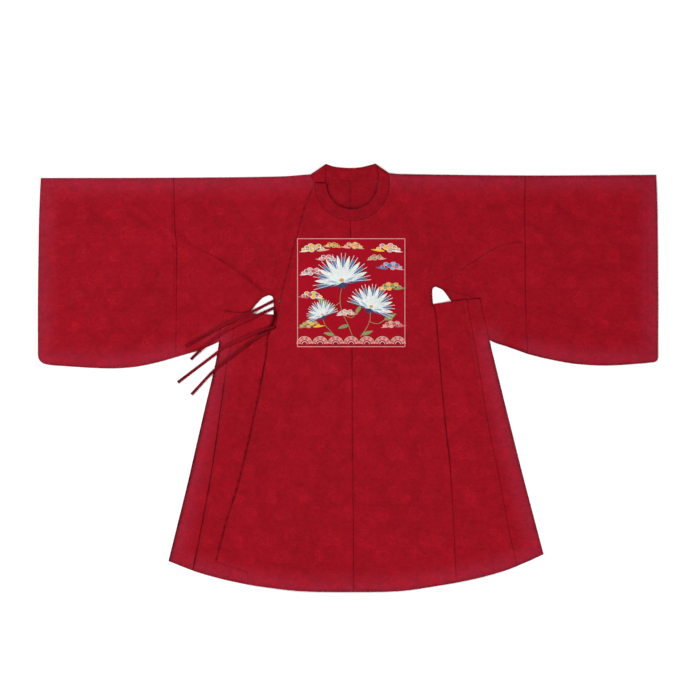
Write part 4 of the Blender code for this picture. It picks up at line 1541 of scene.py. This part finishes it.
# %% Turn a plan into a plain mesh
def grown(name, vertices, edges, tree, values):
    """The plain mesh that a tree grows from a plan's edges."""
    plan = bpy.data.meshes.new(name + "_plan")
    plan.from_pydata(vertices.tolist(), edges, [])
    source = put_in_scene(name + "_plan", plan)
    modifier = source.modifiers.new("stitches", "NODES")
    modifier.node_group = tree
    for socket in tree.interface.items_tree:
        if socket.in_out == "INPUT" and socket.name in values:
            modifier[socket.identifier] = values[socket.name]
    depsgraph = bpy.context.evaluated_depsgraph_get()
    mesh = bpy.data.meshes.new_from_object(source.evaluated_get(depsgraph), depsgraph=depsgraph)
    bpy.data.objects.remove(source, do_unlink=True)
    piece = put_in_scene(name, mesh)
    print(name, len(mesh.polygons), "faces")
    return piece


def as_edges(paths):
    """Lines of points as one list of vertices with the edges between them."""
    edges, first = [], 0
    for path in paths:
        edges += [(first + i, first + i + 1) for i in range(len(path) - 1)]
        first += len(path)
    return np.vstack(paths), edges


print("a plan's edges", as_edges([np.zeros((3, 3))])[1])

# %% Spin the threads
THREADS = {
    "white": (0.760, 0.790, 0.760, 1), "sky": (0.330, 0.500, 0.640, 1), "blue": (0.100, 0.215, 0.430, 1),
    "navy": (0.020, 0.040, 0.120, 1), "yellow": (0.840, 0.520, 0.040, 1), "gold": (0.620, 0.380, 0.120, 1),
    "pink": (0.800, 0.360, 0.350, 1), "green": (0.260, 0.320, 0.130, 1), "cream": (0.680, 0.470, 0.300, 1),
    "rose": (0.560, 0.130, 0.150, 1), "crimson": (0.150, 0.0014, 0.0060, 1),
}
THREAD_ROUGHNESS = 0.42
THREAD_TONES = 0.30
FIBRE_DEPTH = 0.2 * MM


def thread_material(name, colour):
    """Silk thread, a little uneven in its dye, with fine fibres along it."""
    material, tree, shader = start_material(name + "_thread")
    place = node(tree, "ShaderNodeTexCoord").outputs["Object"]
    dyed = use_group(tree, DYE, {"Vector": place, "Tone Range": THREAD_TONES})
    colour = blend_colours(tree, 1.0, colour, dyed.outputs["Tone"], "MULTIPLY")
    tree.links.new(colour, shader.inputs["Base Color"])
    shader.inputs["Roughness"].default_value = THREAD_ROUGHNESS
    fibres = node(tree, "ShaderNodeTexNoise", {"Vector": place, "Scale": 1500.0, "Detail": 2.0})
    bump = node(tree, "ShaderNodeBump", {"Height": fibres.outputs["Fac"], "Strength": 0.4,
                                         "Distance": FIBRE_DEPTH})
    tree.links.new(bump.outputs[0], shader.inputs["Normal"])
    return material


THREAD = {name: thread_material(name, colour) for name, colour in THREADS.items()}
print("threads", len(THREAD))

# %% Embroider the badge
STRAND_RADIUS = 0.52 * MM
STRAND_RISE = 0.55 * MM
CORD_RADIUS = 0.75 * MM


def on_badge(points, lift):
    """Points of the badge's plan, in millimetres from its middle, lifted off its cloth."""
    flat = (np.array(points) + BADGE_MIDDLE) * MM
    height = PIECES["badge"].height(flat) + WALL + np.asarray(lift) * MM
    return np.column_stack([flat, height])


def finish_thread(piece):
    """A stitched piece rides with the robe."""
    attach(piece, "root")


embroidery = []
for thread, rows in SATIN_PLAN.items():
    points = [point for start, end, _ in rows for point in (start, end)]
    ends = on_badge(points, np.repeat([lift for _, _, lift in rows], 2))
    edges = [(2 * i, 2 * i + 1) for i in range(len(rows))]
    embroidery.append(grown("satin_stitch_" + thread, ends, edges, TREES["satin"],
                            {"Radius": STRAND_RADIUS, "Rise": STRAND_RISE, "Thread": THREAD[thread]}))
for thread, rows in CORD_PLAN.items():
    vertices, edges = as_edges([on_badge(points, lift) for points, lift in rows])
    embroidery.append(grown("couched_cord_" + thread, vertices, edges, TREES["cord"],
                            {"Radius": CORD_RADIUS, "Thread": THREAD[thread]}))
for piece in embroidery:
    finish_thread(piece)
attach(badge, "root")
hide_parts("badge")
print("badge embroidered in", len(embroidery), "pieces")

# %% [markdown]
# ## Sewing
# The hems, the cuffs and the edge of the lap are turned in and sewn, so a row of small stitches runs inside
# each of them. A painted dashed line would do from afar. Real stitches are little more work here, because
# the same tree places them along every row.

# %% Sew the rows that show
BAND_STITCH = 3.5
STITCH_ROWS = [
    ("sleeve_left", "cuff_left", 17), ("sleeve_right", "cuff_right", 17), ("body_left", "hem", 9),
    ("lap", "hem", 9), ("body_right", "hem", 9), ("side_left_back", "hem", 9), ("side_left_front", "hem", 9),
    ("side_right_back", "hem", 9), ("side_right_front", "hem", 9), ("lap", "lap_side", 10),
    ("lap", "lap_top", 10), ("side_left_front", "pleat_left", 9), ("side_right_front", "pleat_right", 9),
    ("side_left_back", "panel_left", 9), ("side_right_back", "panel_right", 9),
    ("side_left_back", "panel_top_left", 7), ("side_right_back", "panel_top_right", 7),
    ("collar_front", "band_left", BAND_STITCH), ("collar_front", "band_right", BAND_STITCH),
]
STITCH_CLEAR = 0.12 * MM
COVER_CLEAR = 0.3 * MM
SHORTEST_RUN = 4
BAND_EDGE = neck_arc(NECK_INNER + BAND_STITCH, 2 * math.pi, math.pi)


def runs_on(piece_name, path):
    """The stretches of a path that lie on a piece and aren't covered by another."""
    piece = PIECES[piece_name]
    wall = BAND_WALL if piece_name.startswith("collar") else WALL
    top = piece.height(path) + wall
    shown = inside(path, piece.loop) & (resting(path) <= top + COVER_CLEAR + (wall - WALL))
    runs, run = [], []
    for point, z, seen in zip(path, top, shown):
        if seen:
            run.append((point[0], point[1], z + STITCH_CLEAR))
        elif run:
            runs.append(run)
            run = []
    return [np.array(run) for run in runs + [run] if len(run) >= SHORTEST_RUN]


rows = [runs_on("collar_front", BAND_EDGE), runs_on("collar_front", line["band_middle"])]
for piece_name, edge_name, distance in STITCH_ROWS:
    for sign in (1, -1):
        rows.append(runs_on(piece_name, shifted(line[edge_name], sign * distance * MM)))
vertices, edges = as_edges([run for found in rows for run in found])
stitches = grown("running_stitches", vertices, edges, TREES["running"], {"Thread": THREAD["crimson"]})
finish_thread(stitches)

# %% Sew the bar tack at the lap's edge
TACK_PLACE = np.array([-217.0, 247.0])
TACK_HALF = 6.5
TACK_STITCHES = 9
TACK_TURN = -15
TACK_RADIUS = 0.6 * MM
TACK_RISE = 0.8 * MM
tack = []
for step in range(TACK_STITCHES):
    middle = TACK_PLACE + turned(TACK_TURN + 90) * (step - TACK_STITCHES / 2)
    tack += [middle - turned(TACK_TURN) * TACK_HALF, middle + turned(TACK_TURN) * TACK_HALF]
tack = np.array(tack) * MM
vertices = np.column_stack([tack, resting(tack) + STITCH_CLEAR])
edges = [(2 * i, 2 * i + 1) for i in range(TACK_STITCHES)]
bar_tack = grown("bar_tack", vertices, edges, TREES["satin"],
                 {"Radius": TACK_RADIUS, "Rise": TACK_RISE, "Thread": THREAD["crimson"]})
finish_thread(bar_tack)
